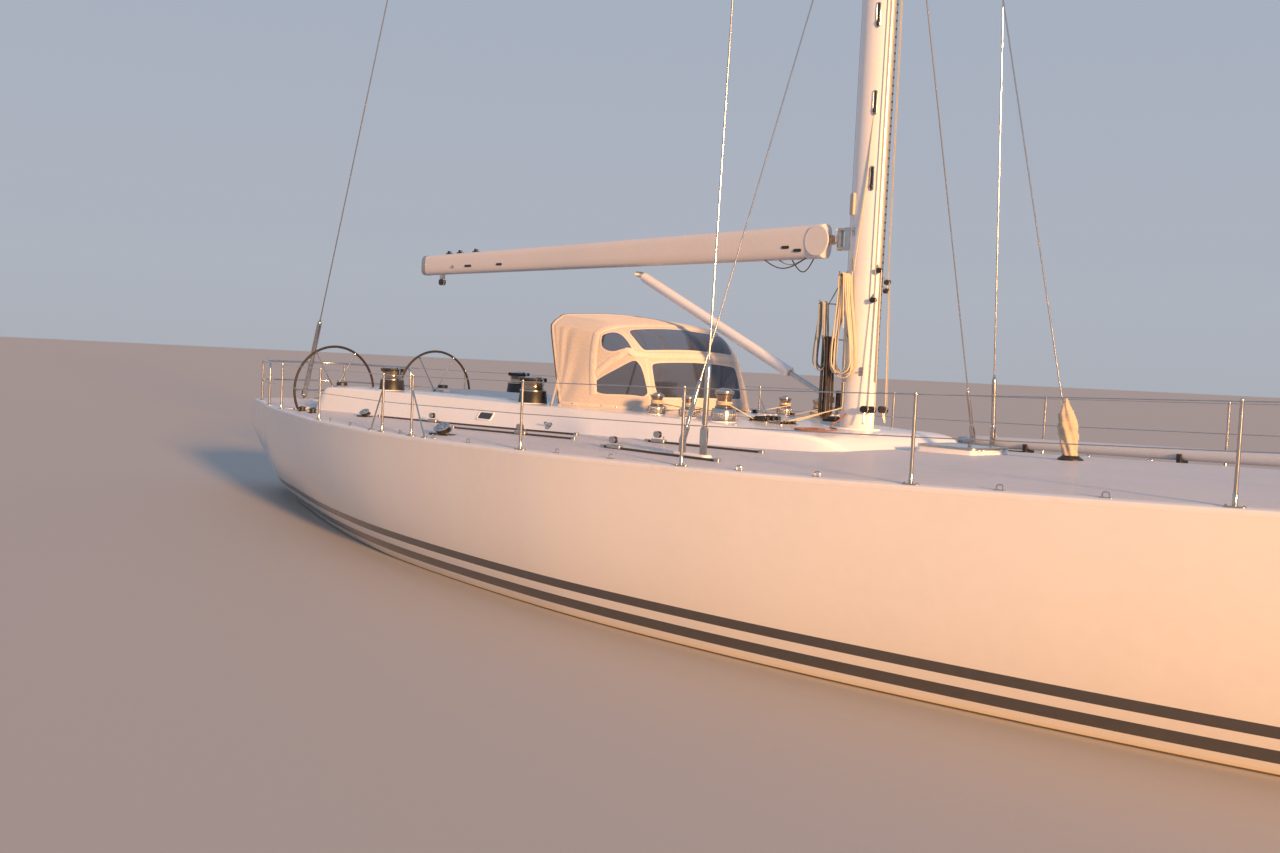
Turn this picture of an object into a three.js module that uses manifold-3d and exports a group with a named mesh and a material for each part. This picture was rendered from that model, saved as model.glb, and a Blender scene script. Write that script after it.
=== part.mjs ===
// A racing yacht of about 24 m, built as separate pieces in millimetres.
// +X points to the bow, +Y to port and +Z up. The origin is on the centreline at the waterline,
// just forward of the mast's middle.

import * as THREE from 'three';
import { mergeVertices } from 'three/addons/utils/BufferGeometryUtils.js';
import Module from 'manifold-3d';

const wasm = await Module();
wasm.setup();

// Driving dimensions

const GAP = 0.3;                    // between pieces that touch
const DECK_THICK = 40;
const DECK_CAMBER = 120;            // at the widest station
const MAX_HALF_BEAM = 2880;

// Hull stations from the stern to the stem
// x, half beam at the deck, deck edge height, keel line height, fullness of the section
const STATIONS = [
  [-12600, 330, 1450, 815, 2.0],
  [-12000, 520, 1446, 530, 2.1],
  [-11050, 830, 1440, 90, 2.2],
  [-10000, 1250, 1434, -160, 2.3],
  [-8910, 1600, 1430, -310, 2.35],
  [-6600, 2260, 1432, -590, 2.4],
  [-4460, 2660, 1440, -810, 2.45],
  [-1700, 2880, 1480, -940, 2.45],
  [340, 2830, 1520, -950, 2.4],
  [2380, 2630, 1580, -880, 2.3],
  [4420, 2320, 1650, -740, 2.15],
  [6500, 1840, 1735, -560, 1.95],
  [8500, 1180, 1835, -330, 1.7],
  [9600, 760, 1893, 0, 1.5],
  [10600, 350, 1943, 1060, 1.4],
  [11400, 30, 1985, 1910, 1.3],
];
const STEPS_PER_STATION = 2;
const SECTION_STEPS = 9;
const DECK_FRACTIONS = [-1, -0.75, -0.5, -0.25, 0, 0.25, 0.5, 0.75, 1];

const COCKPIT = { aft: -9450, fore: -3400, half: 800, sole: 1000, wall: 60 };
const HELM = { aft: -8860, fore: -8340, half: 1495, wall: 25 };  // the cockpit's wide part
const COMPANIONWAY = { fore: -2750, half: 330, sill: 1060 };
const FORE_HATCH = { x: 1120, half: 300, rise: 45, lid: 22 };
const AFT_HATCH = { x: -10150, half: 260, rise: 30, lid: 25 };
const HATCH_RIM = 40;

// Hollows inside the hull, open at the top and closed by the deck: aft, fore, half width, floor
const HOLLOWS = [
  [-9600, 1700, 1050, COCKPIT.sole - COCKPIT.wall - GAP],
  [HELM.aft - 60, HELM.fore + 60, HELM.half + HELM.wall + 1, COCKPIT.sole - COCKPIT.wall - GAP],
  [-3330, 1700, 1050, -350],
  [-10650, -9650, 500, 950],
];
const CABIN_TOP = { aft: -3300, fore: -600, half: 1000, ceiling: 1700 };
const ABOVE_ALL = 2600;             // higher than any deck or roof

// Superstructure: a low roof that runs aft as the cockpit's coamings
// x, half width at the deck, half width at the top, top edge height, crown
const ROOF_STATIONS = [
  [580, 1050, 850, 1600, 20],
  [330, 1220, 1020, 1732, 28],
  [-300, 1330, 1150, 1762, 32],
  [-1400, 1400, 1210, 1800, 36],
  [-2300, 1415, 1225, 1800, 36],
  [-3600, 1440, 1250, 1800, 36],
  [-6600, 1400, 1240, 1800, 36],
  [-8150, 1345, 1255, 1780, 30],
  [-8250, 1338, 1248, 1730, 24],
  [-8330, 1330, 1240, 1650, 18],
];

const MAST = { x: -80, long: 380, wide: 220, foot: 1700, head: 31000, taperFrom: 21000, taper: 0.62 };
const SPREADERS = [
  // name, height, tip half width
  ['spreaders_lower', 8550, 1950],
  ['spreaders_middle', 15700, 1560],
  ['spreaders_upper', 22900, 1080],
];
const SPREADER = { root: 160, tip: 90, thick: 55 };
const CHAINPLATE = { capX: 50, lowerX: -200, y: 2230, lugHeight: 150 };
const CAP_ROD = 9;
const LOWER_ROD = 7;
const STAY_ROD = 9;

const SWING_AXIS_X = -400;
const BOOM = { pinX: -470, pinZ: 3620, fore: -640, aft: -7750, lugX: -3280, lugZ: 3330 };
const VANG_FOOT_Z = 2050;

const HOOD_WALL = 12;
// Spray hood hoops from aft to the front
// foot x, crown x, foot half width, shoulder half width, shoulder height, crown height
const HOOD_HOOPS = [
  [-3270, -3600, 1120, 1060, 2640, 2865],
  [-3010, -3100, 1070, 1000, 2600, 2830],
  [-2760, -2640, 990, 900, 2500, 2700],
  [-2480, -2370, 900, 800, 2300, 2440],
  [-2220, -2200, 810, 760, 1930, 1960],
];

const PROP_SHAFT = { x: -4500, z: -895, tilt: 10, radius: 22 };
const RUDDER = { stockX: -9750, stockRadius: 55.7, top: -270, foot: -2900, bore: 56.3 };
const WHEEL = { x: -8680, y: 845, z: 1717, radius: 622, tube: 17, hub: 65, spokes: 6 };
const AXLE = { radius: 20, bore: 20.8 };
const PEDESTAL = { x: -8480, foot: 110, head: 80, top: 1800, compass: 75 };
const TRAVELLER = { x: -7350, half: 70, low: 1330, beam: 1420, track: 1450, car: 1490 };
const SLIDE = { aft: -3420, fore: -2720, half: 380, low: 1790, high: 1872 };
const WASHBOARD = { thick: 30, top: 1788 };

const RAIL_HEIGHT = 620;
const RAIL_MIDDLE = 325;
const STANCHIONS = [8400, 6460, 4420, 2380, 340, -1700, -3750, -4460, -6600, -8910];
const GATE = [-3750, -4460];
const RAIL_INSET = 60;

// Winches: name, x, y, base radius, drum radius, height, skirt
const WINCHES = [
  ['winch_primary', -6850, 1030, 165, 125, 300, true],
  ['winch_secondary', -3850, 1030, 165, 125, 300, true],
  ['winch_halyard', -950, 950, 125, 75, 320, false],
  ['winch_control', -1380, 1010, 92, 58, 215, false],
  ['winch_spinnaker', -1850, 990, 92, 58, 215, false],
];

// Helpers

function lerp(a, b, t) {
  return a + (b - a) * t;
}

// A smooth curve through one column of a station table
function column(table, index, x) {
  const rows = table[0][0] < table[table.length - 1][0] ? table : [...table].reverse();
  const last = rows.length - 1;
  let i = rows.findIndex((row, k) => k < last && x <= rows[k + 1][0]);
  if (i < 0) i = last - 1;
  const slope = (k) => {
    const a = Math.max(k - 1, 0);
    const b = Math.min(k + 1, last);
    return (rows[b][index] - rows[a][index]) / (rows[b][0] - rows[a][0]);
  };
  const span = rows[i + 1][0] - rows[i][0];
  const t = Math.min(Math.max((x - rows[i][0]) / span, 0), 1);
  const h = t * t * (3 - 2 * t);
  const left = span * t * (1 - t) * (1 - t) * slope(i);
  const right = span * t * t * (1 - t) * slope(i + 1);
  return rows[i][index] * (1 - h) + rows[i + 1][index] * h + left - right;
}

function solidFrom(positions, triangles) {
  const kept = [];
  for (const [a, b, c] of triangles) {
    if (a !== b && b !== c && c !== a) kept.push(a, b, c);
  }
  let volume = 0;
  const at = (i) => new THREE.Vector3(positions[3 * i], positions[3 * i + 1], positions[3 * i + 2]);
  for (let i = 0; i < kept.length; i += 3) {
    volume += at(kept[i]).dot(at(kept[i + 1]).cross(at(kept[i + 2])));
  }
  if (volume < 0) {
    for (let i = 0; i < kept.length; i += 3) {
      [kept[i + 1], kept[i + 2]] = [kept[i + 2], kept[i + 1]];
    }
  }
  return new wasm.Manifold(new wasm.Mesh({
    numProp: 3,
    vertProperties: new Float32Array(positions),
    triVerts: new Uint32Array(kept),
  }));
}

function solidOf(geometry) {
  const bare = geometry.clone();
  bare.deleteAttribute('normal');
  bare.deleteAttribute('uv');
  const merged = mergeVertices(bare, 1e-3);
  const index = merged.index.array;
  const triangles = [];
  for (let i = 0; i < index.length; i += 3) {
    triangles.push([index[i], index[i + 1], index[i + 2]]);
  }
  return solidFrom([...merged.attributes.position.array], triangles);
}

// A closed solid through rings of points, capped at both ends
function loft(rings) {
  const count = rings[0].length;
  const positions = rings.flat(2);
  const triangles = [];
  for (let i = 0; i + 1 < rings.length; i += 1) {
    for (let j = 0; j < count; j += 1) {
      const a = i * count + j;
      const b = i * count + ((j + 1) % count);
      triangles.push([a, b, b + count], [a, b + count, a + count]);
    }
  }
  for (const end of [0, rings.length - 1]) {
    const ring = rings[end];
    const middle = [0, 1, 2].map((k) => ring.reduce((sum, p) => sum + p[k], 0) / count);
    const hub = positions.length / 3;
    positions.push(...middle);
    for (let j = 0; j < count; j += 1) {
      const a = end * count + j;
      const b = end * count + ((j + 1) % count);
      triangles.push(end === 0 ? [b, a, hub] : [a, b, hub]);
    }
  }
  return solidFrom(positions, triangles);
}

function box(x0, x1, y0, y1, z0, z1) {
  const geometry = new THREE.BoxGeometry(x1 - x0, y1 - y0, z1 - z0);
  geometry.translate((x0 + x1) / 2, (y0 + y1) / 2, (z0 + z1) / 2);
  return solidOf(geometry);
}

// A plate whose outline lies in the X-Z plane, between two values of y
function plateXZ(outline, y0, y1) {
  const shape = new THREE.Shape(outline.map(([x, z]) => new THREE.Vector2(x, z)));
  const geometry = new THREE.ExtrudeGeometry(shape, { depth: y1 - y0, bevelEnabled: false });
  geometry.rotateX(Math.PI / 2);
  geometry.translate(0, y1, 0);
  return solidOf(geometry);
}

// A plate whose outline lies in the X-Y plane, between two heights
function plateXY(outline, z0, z1) {
  const shape = new THREE.Shape(outline.map(([x, y]) => new THREE.Vector2(x, y)));
  const geometry = new THREE.ExtrudeGeometry(shape, { depth: z1 - z0, bevelEnabled: false });
  geometry.translate(0, 0, z0);
  return solidOf(geometry);
}

function rod(from, to, radius, sides = 8, radiusTo = radius) {
  const a = new THREE.Vector3(...from);
  const b = new THREE.Vector3(...to);
  const way = b.clone().sub(a);
  const geometry = new THREE.CylinderGeometry(radiusTo, radius, way.length(), sides);
  const turn = new THREE.Quaternion().setFromUnitVectors(
    new THREE.Vector3(0, 1, 0),
    way.clone().normalize(),
  );
  geometry.applyQuaternion(turn);
  const middle = a.add(b).multiplyScalar(0.5);
  geometry.translate(middle.x, middle.y, middle.z);
  return solidOf(geometry);
}

// A rod through a list of points, mitred where it bends
function rodChain(points, radius, sides = 8) {
  const stops = points.map((point) => new THREE.Vector3(...point));
  const ways = stops.slice(1).map((stop, i) => stop.clone().sub(stops[i]).normalize());
  const guide = Math.abs(ways[0].z) < 0.9 ? new THREE.Vector3(0, 0, 1) : new THREE.Vector3(1, 0, 0);
  const across = guide.cross(ways[0]);
  return loft(stops.map((stop, i) => {
    const before = ways[Math.max(i - 1, 0)];
    const after = ways[Math.min(i, ways.length - 1)];
    const along = before.clone().add(after).normalize();
    across.addScaledVector(along, -across.dot(along)).normalize();
    const over = along.clone().cross(across);
    return Array.from({ length: sides }, (_, k) => {
      const a = (k / sides) * Math.PI * 2;
      return stop.clone()
        .addScaledVector(across, radius * Math.cos(a))
        .addScaledVector(over, radius * Math.sin(a))
        .toArray();
    });
  }));
}

// A round piece from a profile of radius and height, standing on +Z
function turned(profile, sides = 20) {
  const geometry = new THREE.LatheGeometry(profile.map(([r, z]) => new THREE.Vector2(r, z)), sides);
  geometry.rotateX(Math.PI / 2);
  return solidOf(geometry);
}

function joined(parts) {
  return parts.reduce((sum, part) => sum.add(part));
}

// Cuts a piece's foot so that it stands on its support with the gap of a touching piece
function seated(piece, support) {
  return piece.subtract(support.translate([0, 0, GAP]));
}

function foilRing(lead, chord, thickness, z, steps = 7) {
  const half = [];
  for (let i = 0; i <= steps; i += 1) {
    const t = 0.5 - 0.5 * Math.cos((Math.PI * i) / steps);
    const y = 5 * thickness * (0.2969 * Math.sqrt(t) - 0.126 * t - 0.3516 * t * t + 0.2843 * t ** 3
      - 0.1036 * t ** 4);
    half.push([lead - chord * t, chord * y]);
  }
  const upper = half.map(([x, y]) => [x, y, z]);
  const lower = half.slice(1, -1).reverse().map(([x, y]) => [x, -y, z]);
  return [...upper, ...lower];
}

const root = new THREE.Group();

function addPiece(name, solid, look) {
  const mesh = solid.getMesh();
  const geometry = new THREE.BufferGeometry();
  geometry.setAttribute('position', new THREE.BufferAttribute(mesh.vertProperties, 3));
  geometry.setIndex(new THREE.BufferAttribute(mesh.triVerts, 1));
  geometry.computeVertexNormals();
  const piece = new THREE.Mesh(geometry, new THREE.MeshStandardMaterial(look));
  piece.name = name;
  root.add(piece);
}

const LOOKS = {
  topsides: { color: 0xe9e4e2, roughness: 0.25, metalness: 0 },
  deck: { color: 0xcfc8c2, roughness: 0.8, metalness: 0 },
  moulding: { color: 0xeeeae6, roughness: 0.35, metalness: 0 },
  spar: { color: 0xf0ece8, roughness: 0.35, metalness: 0 },
  steel: { color: 0xc8c4be, roughness: 0.2, metalness: 1 },
  alloy: { color: 0x9a9a9c, roughness: 0.45, metalness: 1 },
  canvas: { color: 0xd9c2a0, roughness: 0.9, metalness: 0 },
  lead: { color: 0x4a4f57, roughness: 0.6, metalness: 0.2 },
  foil: { color: 0xd8d6d2, roughness: 0.4, metalness: 0 },
  bronze: { color: 0x9a6b3a, roughness: 0.35, metalness: 1 },
  acrylic: { color: 0x2a2622, roughness: 0.08, metalness: 0 },
  wood: { color: 0x7a4b26, roughness: 0.5, metalness: 0 },
};

// Hull form

function hullAt(x) {
  const row = [1, 2, 3, 4].map((index) => column(STATIONS, index, x));
  return { half: row[0], sheer: row[1], keel: row[2], full: row[3] };
}

function camberAt(half) {
  return (DECK_CAMBER * half) / MAX_HALF_BEAM;
}

// Height of the deck's upper face
function deckHeight(x, y) {
  const { half, sheer } = hullAt(x);
  return sheer + camberAt(half) * (1 - (y / half) ** 2);
}

function stationPlaces() {
  const places = [];
  for (let i = 0; i + 1 < STATIONS.length; i += 1) {
    for (let k = 0; k < STEPS_PER_STATION; k += 1) {
      places.push(lerp(STATIONS[i][0], STATIONS[i + 1][0], k / STEPS_PER_STATION));
    }
  }
  places.push(STATIONS[STATIONS.length - 1][0]);
  return places;
}

function deckRow(x, drop) {
  const { half, sheer } = hullAt(x);
  const camber = camberAt(half);
  return DECK_FRACTIONS.map((f) => [x, f * half, sheer + camber * (1 - f * f) - drop]);
}

function hullRing(x) {
  const { half, sheer, keel, full } = hullAt(x);
  const edge = sheer - DECK_THICK - GAP;
  const side = [];
  for (let i = 1; i <= SECTION_STEPS; i += 1) {
    const angle = (Math.PI / 2) * (i / SECTION_STEPS);
    const y = half * Math.sin(angle) ** (2 / full);
    const z = edge - (edge - keel) * Math.cos(angle) ** (2 / full);
    side.push([x, y, z]);
  }
  const starboard = side.slice(0, -1).map(([a, y, z]) => [a, -y, z]).reverse();
  const port = side.slice(0, -1);
  const top = deckRow(x, DECK_THICK + GAP).reverse();
  return [...starboard, [x, 0, keel], ...port, ...top];
}

const transomCut = plateXZ(
  [[-11480, 1520], [-12620, 760], [-13500, 760], [-13500, 2500], [-11480, 2500]],
  -1500,
  1500,
);
const places = stationPlaces();

const deckBlank = loft(places.map((x) => [...deckRow(x, DECK_THICK), ...deckRow(x, 0).reverse()]));
const deckSlab = deckBlank.subtract(transomCut);
const deckFloor = loft(places.map((x) => [...deckRow(x, 400), ...deckRow(x, 0).reverse()]))
  .translate([0, 0, GAP]);

// A box that is symmetrical about the centreline
function middleBox(aft, fore, half, low, high) {
  return box(aft, fore, -half, half, low, high);
}

const wellCut = middleBox(COCKPIT.aft, COCKPIT.fore, COCKPIT.half, COCKPIT.sole, ABOVE_ALL)
  .add(middleBox(HELM.aft, HELM.fore, HELM.half, COCKPIT.sole, ABOVE_ALL));
const companionCut = middleBox(
  COCKPIT.fore - 10,
  COMPANIONWAY.fore,
  COMPANIONWAY.half,
  COMPANIONWAY.sill,
  ABOVE_ALL,
);
const cabinCut = middleBox(CABIN_TOP.aft, CABIN_TOP.fore, CABIN_TOP.half, 0, CABIN_TOP.ceiling);
const aboveHull = loft(places.map((x) => [...deckRow(x, DECK_THICK + GAP), ...deckRow(x, -1500).reverse()]));

function hatchCut({ x, half }) {
  const clear = half - HATCH_RIM + 10;
  return middleBox(x - clear, x + clear, clear, 0, ABOVE_ALL);
}

function shaftPoint(distance) {
  const tilt = THREE.MathUtils.degToRad(PROP_SHAFT.tilt);
  return [
    PROP_SHAFT.x - distance * Math.cos(tilt),
    0,
    PROP_SHAFT.z - distance * Math.sin(tilt),
  ];
}

function makeHull() {
  const shell = loft(places.map(hullRing)).subtract(transomCut);
  const sternTube = rod(shaftPoint(-500), shaftPoint(240), 55, 16);
  const stockBore = rod([RUDDER.stockX, 0, -900], [RUDDER.stockX, 0, 260], RUDDER.bore, 32);
  const hollows = HOLLOWS.map(([aft, fore, half, floor]) => middleBox(aft, fore, half, floor, ABOVE_ALL));
  return hollows
    .reduce((hull, hollow) => hull.subtract(hollow), shell.add(sternTube))
    .subtract(stockBore);
}

function makeDeck() {
  return deckSlab
    .subtract(wellCut)
    .subtract(companionCut)
    .subtract(cabinCut)
    .subtract(hatchCut(FORE_HATCH))
    .subtract(hatchCut(AFT_HATCH));
}

// A moulded tub that stands on the floor of the hull's hollow, with its top under the deck
function makeTub() {
  const floor = COCKPIT.sole - COCKPIT.wall;
  const [long, wide] = [COCKPIT, HELM].map(({ aft, fore, half, wall }) => (
    middleBox(aft - wall, fore + wall, half + wall, floor, ABOVE_ALL)
  ));
  return long
    .add(wide)
    .subtract(wellCut)
    .subtract(companionCut)
    .subtract(aboveHull);
}

// Superstructure

function roofRing(x) {
  const [low, high, top, crown] = [1, 2, 3, 4].map((index) => column(ROOF_STATIONS, index, x));
  const bottom = deckHeight(x, low) - 20;
  const edge = 35;
  const half = [
    [low, bottom],
    [high + edge * 0.35, top - edge],
    [high - edge * 0.65, top],
    [high * 0.55, top + crown * 0.7],
  ];
  const port = half.map(([y, z]) => [x, y, z]);
  const starboard = [...half].reverse().map(([y, z]) => [x, -y, z]);
  return [[x, 0, bottom], ...port, [x, 0, top + crown], ...starboard];
}

function roofPlaces() {
  const list = [];
  for (let i = 0; i + 1 < ROOF_STATIONS.length; i += 1) {
    for (let k = 0; k < 2; k += 1) {
      list.push(lerp(ROOF_STATIONS[i][0], ROOF_STATIONS[i + 1][0], k / 2));
    }
  }
  list.push(ROOF_STATIONS[ROOF_STATIONS.length - 1][0]);
  return list;
}

const roofBlank = loft(roofPlaces().map(roofRing));
const mastPocket = plateXY(
  Array.from({ length: 24 }, (_, i) => {
    const a = (i / 24) * Math.PI * 2;
    return [MAST.x + 330 * Math.cos(a), 330 * Math.sin(a)];
  }),
  1500,
  2200,
);

function makeRoof() {
  return roofBlank
    .subtract(deckFloor)
    .subtract(wellCut)
    .subtract(companionCut)
    .subtract(cabinCut)
    .subtract(mastPocket);
}

const roofFloor = roofBlank.translate([0, 0, GAP]);

// Keel, rudder and propeller

function makeFin(hull) {
  const fin = loft([
    foilRing(1500, 3400, 0.1, -500),
    foilRing(1450, 3300, 0.1, -1000),
    foilRing(1130, 2830, 0.11, -2300 + GAP),
  ]);
  return fin.subtract(hull.translate([0, 0, -GAP]));
}

function makeBallast() {
  return loft([
    foilRing(1130, 2830, 0.11, -2300),
    foilRing(960, 2600, 0.13, -3000),
    foilRing(740, 2300, 0.15, -3700),
    foilRing(620, 2100, 0.13, -3900),
  ]);
}

function makeRudder() {
  const blade = loft([
    foilRing(RUDDER.stockX + 230, 1060, 0.13, RUDDER.top),
    foilRing(RUDDER.stockX + 200, 900, 0.12, -1600),
    foilRing(RUDDER.stockX + 130, 620, 0.1, RUDDER.foot + 60),
    foilRing(RUDDER.stockX + 60, 480, 0.06, RUDDER.foot),
  ]);
  const stock = rod(
    [RUDDER.stockX, 0, -600],
    [RUDDER.stockX, 0, 250],
    RUDDER.stockRadius,
    32,
  );
  return blade.add(stock);
}

function makeStrut(hull) {
  const barrel = rod(shaftPoint(1180), shaftPoint(1400), 46, 24);
  const bore = rod(shaftPoint(1100), shaftPoint(1500), PROP_SHAFT.radius + 0.7, 24);
  const [x, , z] = shaftPoint(1290);
  const leg = loft([
    foilRing(x + 90, 190, 0.16, z + 20),
    foilRing(x + 130, 230, 0.16, z + 700),
  ]);
  return barrel.add(leg).subtract(bore).subtract(hull.translate([0, 0, -GAP]));
}

function makePropeller() {
  const shaft = rod(shaftPoint(241), shaftPoint(1420), PROP_SHAFT.radius, 24);
  const hub = rod(shaftPoint(1403), shaftPoint(1560), 58, 16, 40);
  const blade = loft([
    [40, 60, 34, 62],
    [120, 85, 26, 50],
    [210, 100, 18, 38],
    [300, 50, 8, 28],
  ].map(([radius, chord, thick, turn]) => {
    const angle = THREE.MathUtils.degToRad(turn);
    return [[-1, 0], [0, -1], [1, 0], [0, 1]].map(([u, v]) => {
      const across = u * chord;
      const through = (v * thick) / 2;
      return [
        across * Math.cos(angle) - through * Math.sin(angle),
        across * Math.sin(angle) + through * Math.cos(angle),
        radius,
      ];
    });
  }));
  const [x, , z] = shaftPoint(1480);
  const blades = [0, 120, 240].map((turn) => blade
    .rotate([turn, 0, 0])
    .rotate([0, -PROP_SHAFT.tilt, 0])
    .translate([x, 0, z]));
  return joined([shaft, hub, ...blades]);
}

// Mast, spreaders and standing rigging

function mastScale(z) {
  if (z <= MAST.taperFrom) return 1;
  return lerp(1, MAST.taper, (z - MAST.taperFrom) / (MAST.head - MAST.taperFrom));
}

function mastRing(z, grow) {
  const scale = mastScale(z);
  return Array.from({ length: 16 }, (_, i) => {
    const a = (i / 16) * Math.PI * 2;
    const x = ((MAST.long * scale) / 2 + grow) * Math.cos(a);
    const y = ((MAST.wide * scale) / 2 + grow) * Math.sin(a);
    return [MAST.x + x, y, z];
  });
}

function mastSolid(grow) {
  return loft([MAST.foot - grow, MAST.taperFrom, 26000, MAST.head + grow].map((z) => mastRing(z, grow)));
}

const mastGrown = mastSolid(GAP);

function spreaderOutline(tip, grow) {
  const r = SPREADER.root / 2 + grow;
  const t = SPREADER.tip / 2;
  return [
    [MAST.x + r, -300], [MAST.x + r, 300], [MAST.x + t, tip],
    [MAST.x - t, tip], [MAST.x - r, 300], [MAST.x - r, -300],
    [MAST.x - t, -tip], [MAST.x + t, -tip],
  ];
}

function makeMast() {
  const slots = SPREADERS.map(([, z]) => plateXY(
    spreaderOutline(600, GAP),
    z - SPREADER.thick / 2 - GAP,
    z + SPREADER.thick / 2 + GAP,
  ));
  return slots.reduce((mast, slot) => mast.subtract(slot), mastSolid(0));
}

// Each tip is notched around the rod that bears on it
function makeSpreaders(z, tip) {
  const bar = plateXY(spreaderOutline(tip + 4, 0), z - SPREADER.thick / 2, z + SPREADER.thick / 2);
  return bar
    .subtract(rodChain(capRoute(-1), CAP_ROD + GAP))
    .subtract(rodChain(capRoute(1), CAP_ROD + GAP));
}

function makeMastCollar() {
  const base = deckHeight(MAST.x, 0);
  const cone = turned([[0, base - 30], [310, base - 30], [310, base + 40], [285, base + 60],
    [250, base + 90], [225, base + 170], [0, base + 170]], 24)
    .translate([MAST.x, 0, 0]);
  return cone.subtract(deckFloor).subtract(mastGrown);
}

function makeMasthead() {
  const top = MAST.head + GAP;
  return plateXZ([[330, top], [330, top + 70], [-700, top + 70], [-700, top + 30], [-330, top]], -70, 70);
}

const END_STOP = 400;               // short facets near the ends of a long rod

function alongLine(a, b, distance) {
  const from = new THREE.Vector3(...a);
  const way = new THREE.Vector3(...b).sub(from).normalize();
  return from.add(way.multiplyScalar(distance)).toArray();
}

// A rod with its turnbuckle body and toggle at the lower end
function stayWithTurnbuckle(points, radius, body, from, to) {
  const last = points.length - 1;
  const line = rodChain([
    points[0],
    alongLine(points[0], points[1], END_STOP),
    ...points.slice(1, last),
    alongLine(points[last], points[last - 1], END_STOP),
    points[last],
  ], radius);
  const barrel = rod(
    alongLine(points[0], points[1], from),
    alongLine(points[0], points[1], to),
    body,
    10,
  );
  return line.add(barrel);
}

function chainplateTop() {
  return deckHeight(CHAINPLATE.capX, CHAINPLATE.y) + CHAINPLATE.lugHeight;
}

function capRoute(side) {
  const points = [[CHAINPLATE.capX, side * CHAINPLATE.y, chainplateTop() - 5]];
  for (const [, z, tip] of SPREADERS) points.push([MAST.x, side * tip, z]);
  points.push([MAST.x, side * 40, 30500]);
  return points;
}

function makeCapShroud(side) {
  const shroud = stayWithTurnbuckle(capRoute(side), CAP_ROD, 25, 30, 640).subtract(mastGrown);
  return seated(shroud, makeChainplate(side));
}

function makeLowerShroud(side) {
  const points = [
    [CHAINPLATE.lowerX, side * CHAINPLATE.y, chainplateTop() - 5],
    [MAST.x, side * 40, 8300],
  ];
  const shroud = stayWithTurnbuckle(points, LOWER_ROD, 20, 30, 520).subtract(mastGrown);
  return seated(shroud, makeChainplate(side));
}

function makeChainplate(side) {
  const top = chainplateTop();
  const base = deckHeight(CHAINPLATE.capX, CHAINPLATE.y);
  const outline = [
    [-290, base - 30], [130, base - 30], [130, base + 25], [105, base + 40],
    [95, top], [5, top], [-10, base + 40],
    [-140, base + 40], [-155, top], [-245, top], [-260, base + 40], [-290, base + 25],
  ];
  const y = side * CHAINPLATE.y;
  return plateXZ(outline, y - 22, y + 22).subtract(deckFloor);
}

function makeForestay() {
  const points = [[11150, 0, STEM_TOP - 5], [250, 0, MAST.head + 5]];
  const stay = stayWithTurnbuckle(points, STAY_ROD, 26, 40, 700).subtract(mastheadGrown);
  return seated(stay, stemFitting);
}

function makeBackstay() {
  const points = [[-11180, 0, AFT_TOP - 5], [-600, 0, MAST.head + 45]];
  const stay = stayWithTurnbuckle(points, STAY_ROD, 38, 60, 1250).subtract(mastheadGrown);
  return seated(stay, backstayPlate);
}

function makeBabystay() {
  const foot = deckHeight(2160, 0);
  const points = [[2160, 0, foot + 35], [-60, 0, 11260]];
  const stay = stayWithTurnbuckle(points, LOWER_ROD, 18, 20, 420).subtract(mastGrown);
  return seated(stay, babystayPad);
}

function deckPad(x, y, long, wide, high) {
  const base = deckHeight(x, y);
  return box(x - long / 2, x + long / 2, y - wide / 2, y + wide / 2, base - 25, base + high)
    .subtract(deckFloor);
}

const STEM_TOP = deckHeight(11100, 0) + 60;
const AFT_TOP = deckHeight(-11180, 0) + 60;
const mastheadGrown = makeMasthead().translate([0, 0, -GAP]);
const stemFitting = deckPad(11100, 0, 260, 90, 60);
const backstayPlate = deckPad(-11180, 0, 160, 120, 60);
const babystayPad = deckPad(2160, 0, 150, 110, 40);

// Boom, gooseneck and vang

function boomRing(x) {
  const t = (BOOM.fore - x) / (BOOM.fore - BOOM.aft);
  const top = lerp(3780, 3670, t);
  const bottom = lerp(3440, 3400, t);
  const half = lerp(100, 85, t);
  const middle = (top + bottom) / 2;
  const depth = (top - bottom) / 2;
  return Array.from({ length: 16 }, (_, i) => {
    const a = (i / 16) * Math.PI * 2;
    const y = half * Math.sign(Math.cos(a)) * Math.abs(Math.cos(a)) ** 0.6;
    const z = depth * Math.sign(Math.sin(a)) * Math.abs(Math.sin(a)) ** 0.6;
    return [x, y, middle + z];
  });
}

function makeBoom() {
  const beam = loft([BOOM.fore, lerp(BOOM.fore, BOOM.aft, 0.5), BOOM.aft].map(boomRing));
  const lug = plateXZ(
    [[BOOM.lugX + 60, 3470], [BOOM.lugX + 45, BOOM.lugZ - 45], [BOOM.lugX - 45, BOOM.lugZ - 45],
      [BOOM.lugX - 60, 3470]],
    -12,
    12,
  );
  const hole = rod([BOOM.lugX, -90, BOOM.lugZ], [BOOM.lugX, 90, BOOM.lugZ], 14.5, 16);
  return beam.add(lug).subtract(hole);
}

function makeBoomEnd() {
  const cap = loft([BOOM.fore + GAP, BOOM.fore + 60].map((x) => boomRing(x)));
  const lug = plateXZ(
    [[BOOM.fore + 30, 3680], [BOOM.pinX - 10, 3665], [BOOM.pinX + 30, 3640],
      [BOOM.pinX + 30, 3600], [BOOM.pinX - 10, 3575], [BOOM.fore + 30, 3560]],
    -20,
    20,
  );
  const hole = rod([BOOM.pinX, -90, BOOM.pinZ], [BOOM.pinX, 90, BOOM.pinZ], 12.7, 16);
  return cap.add(lug).subtract(hole);
}

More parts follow.
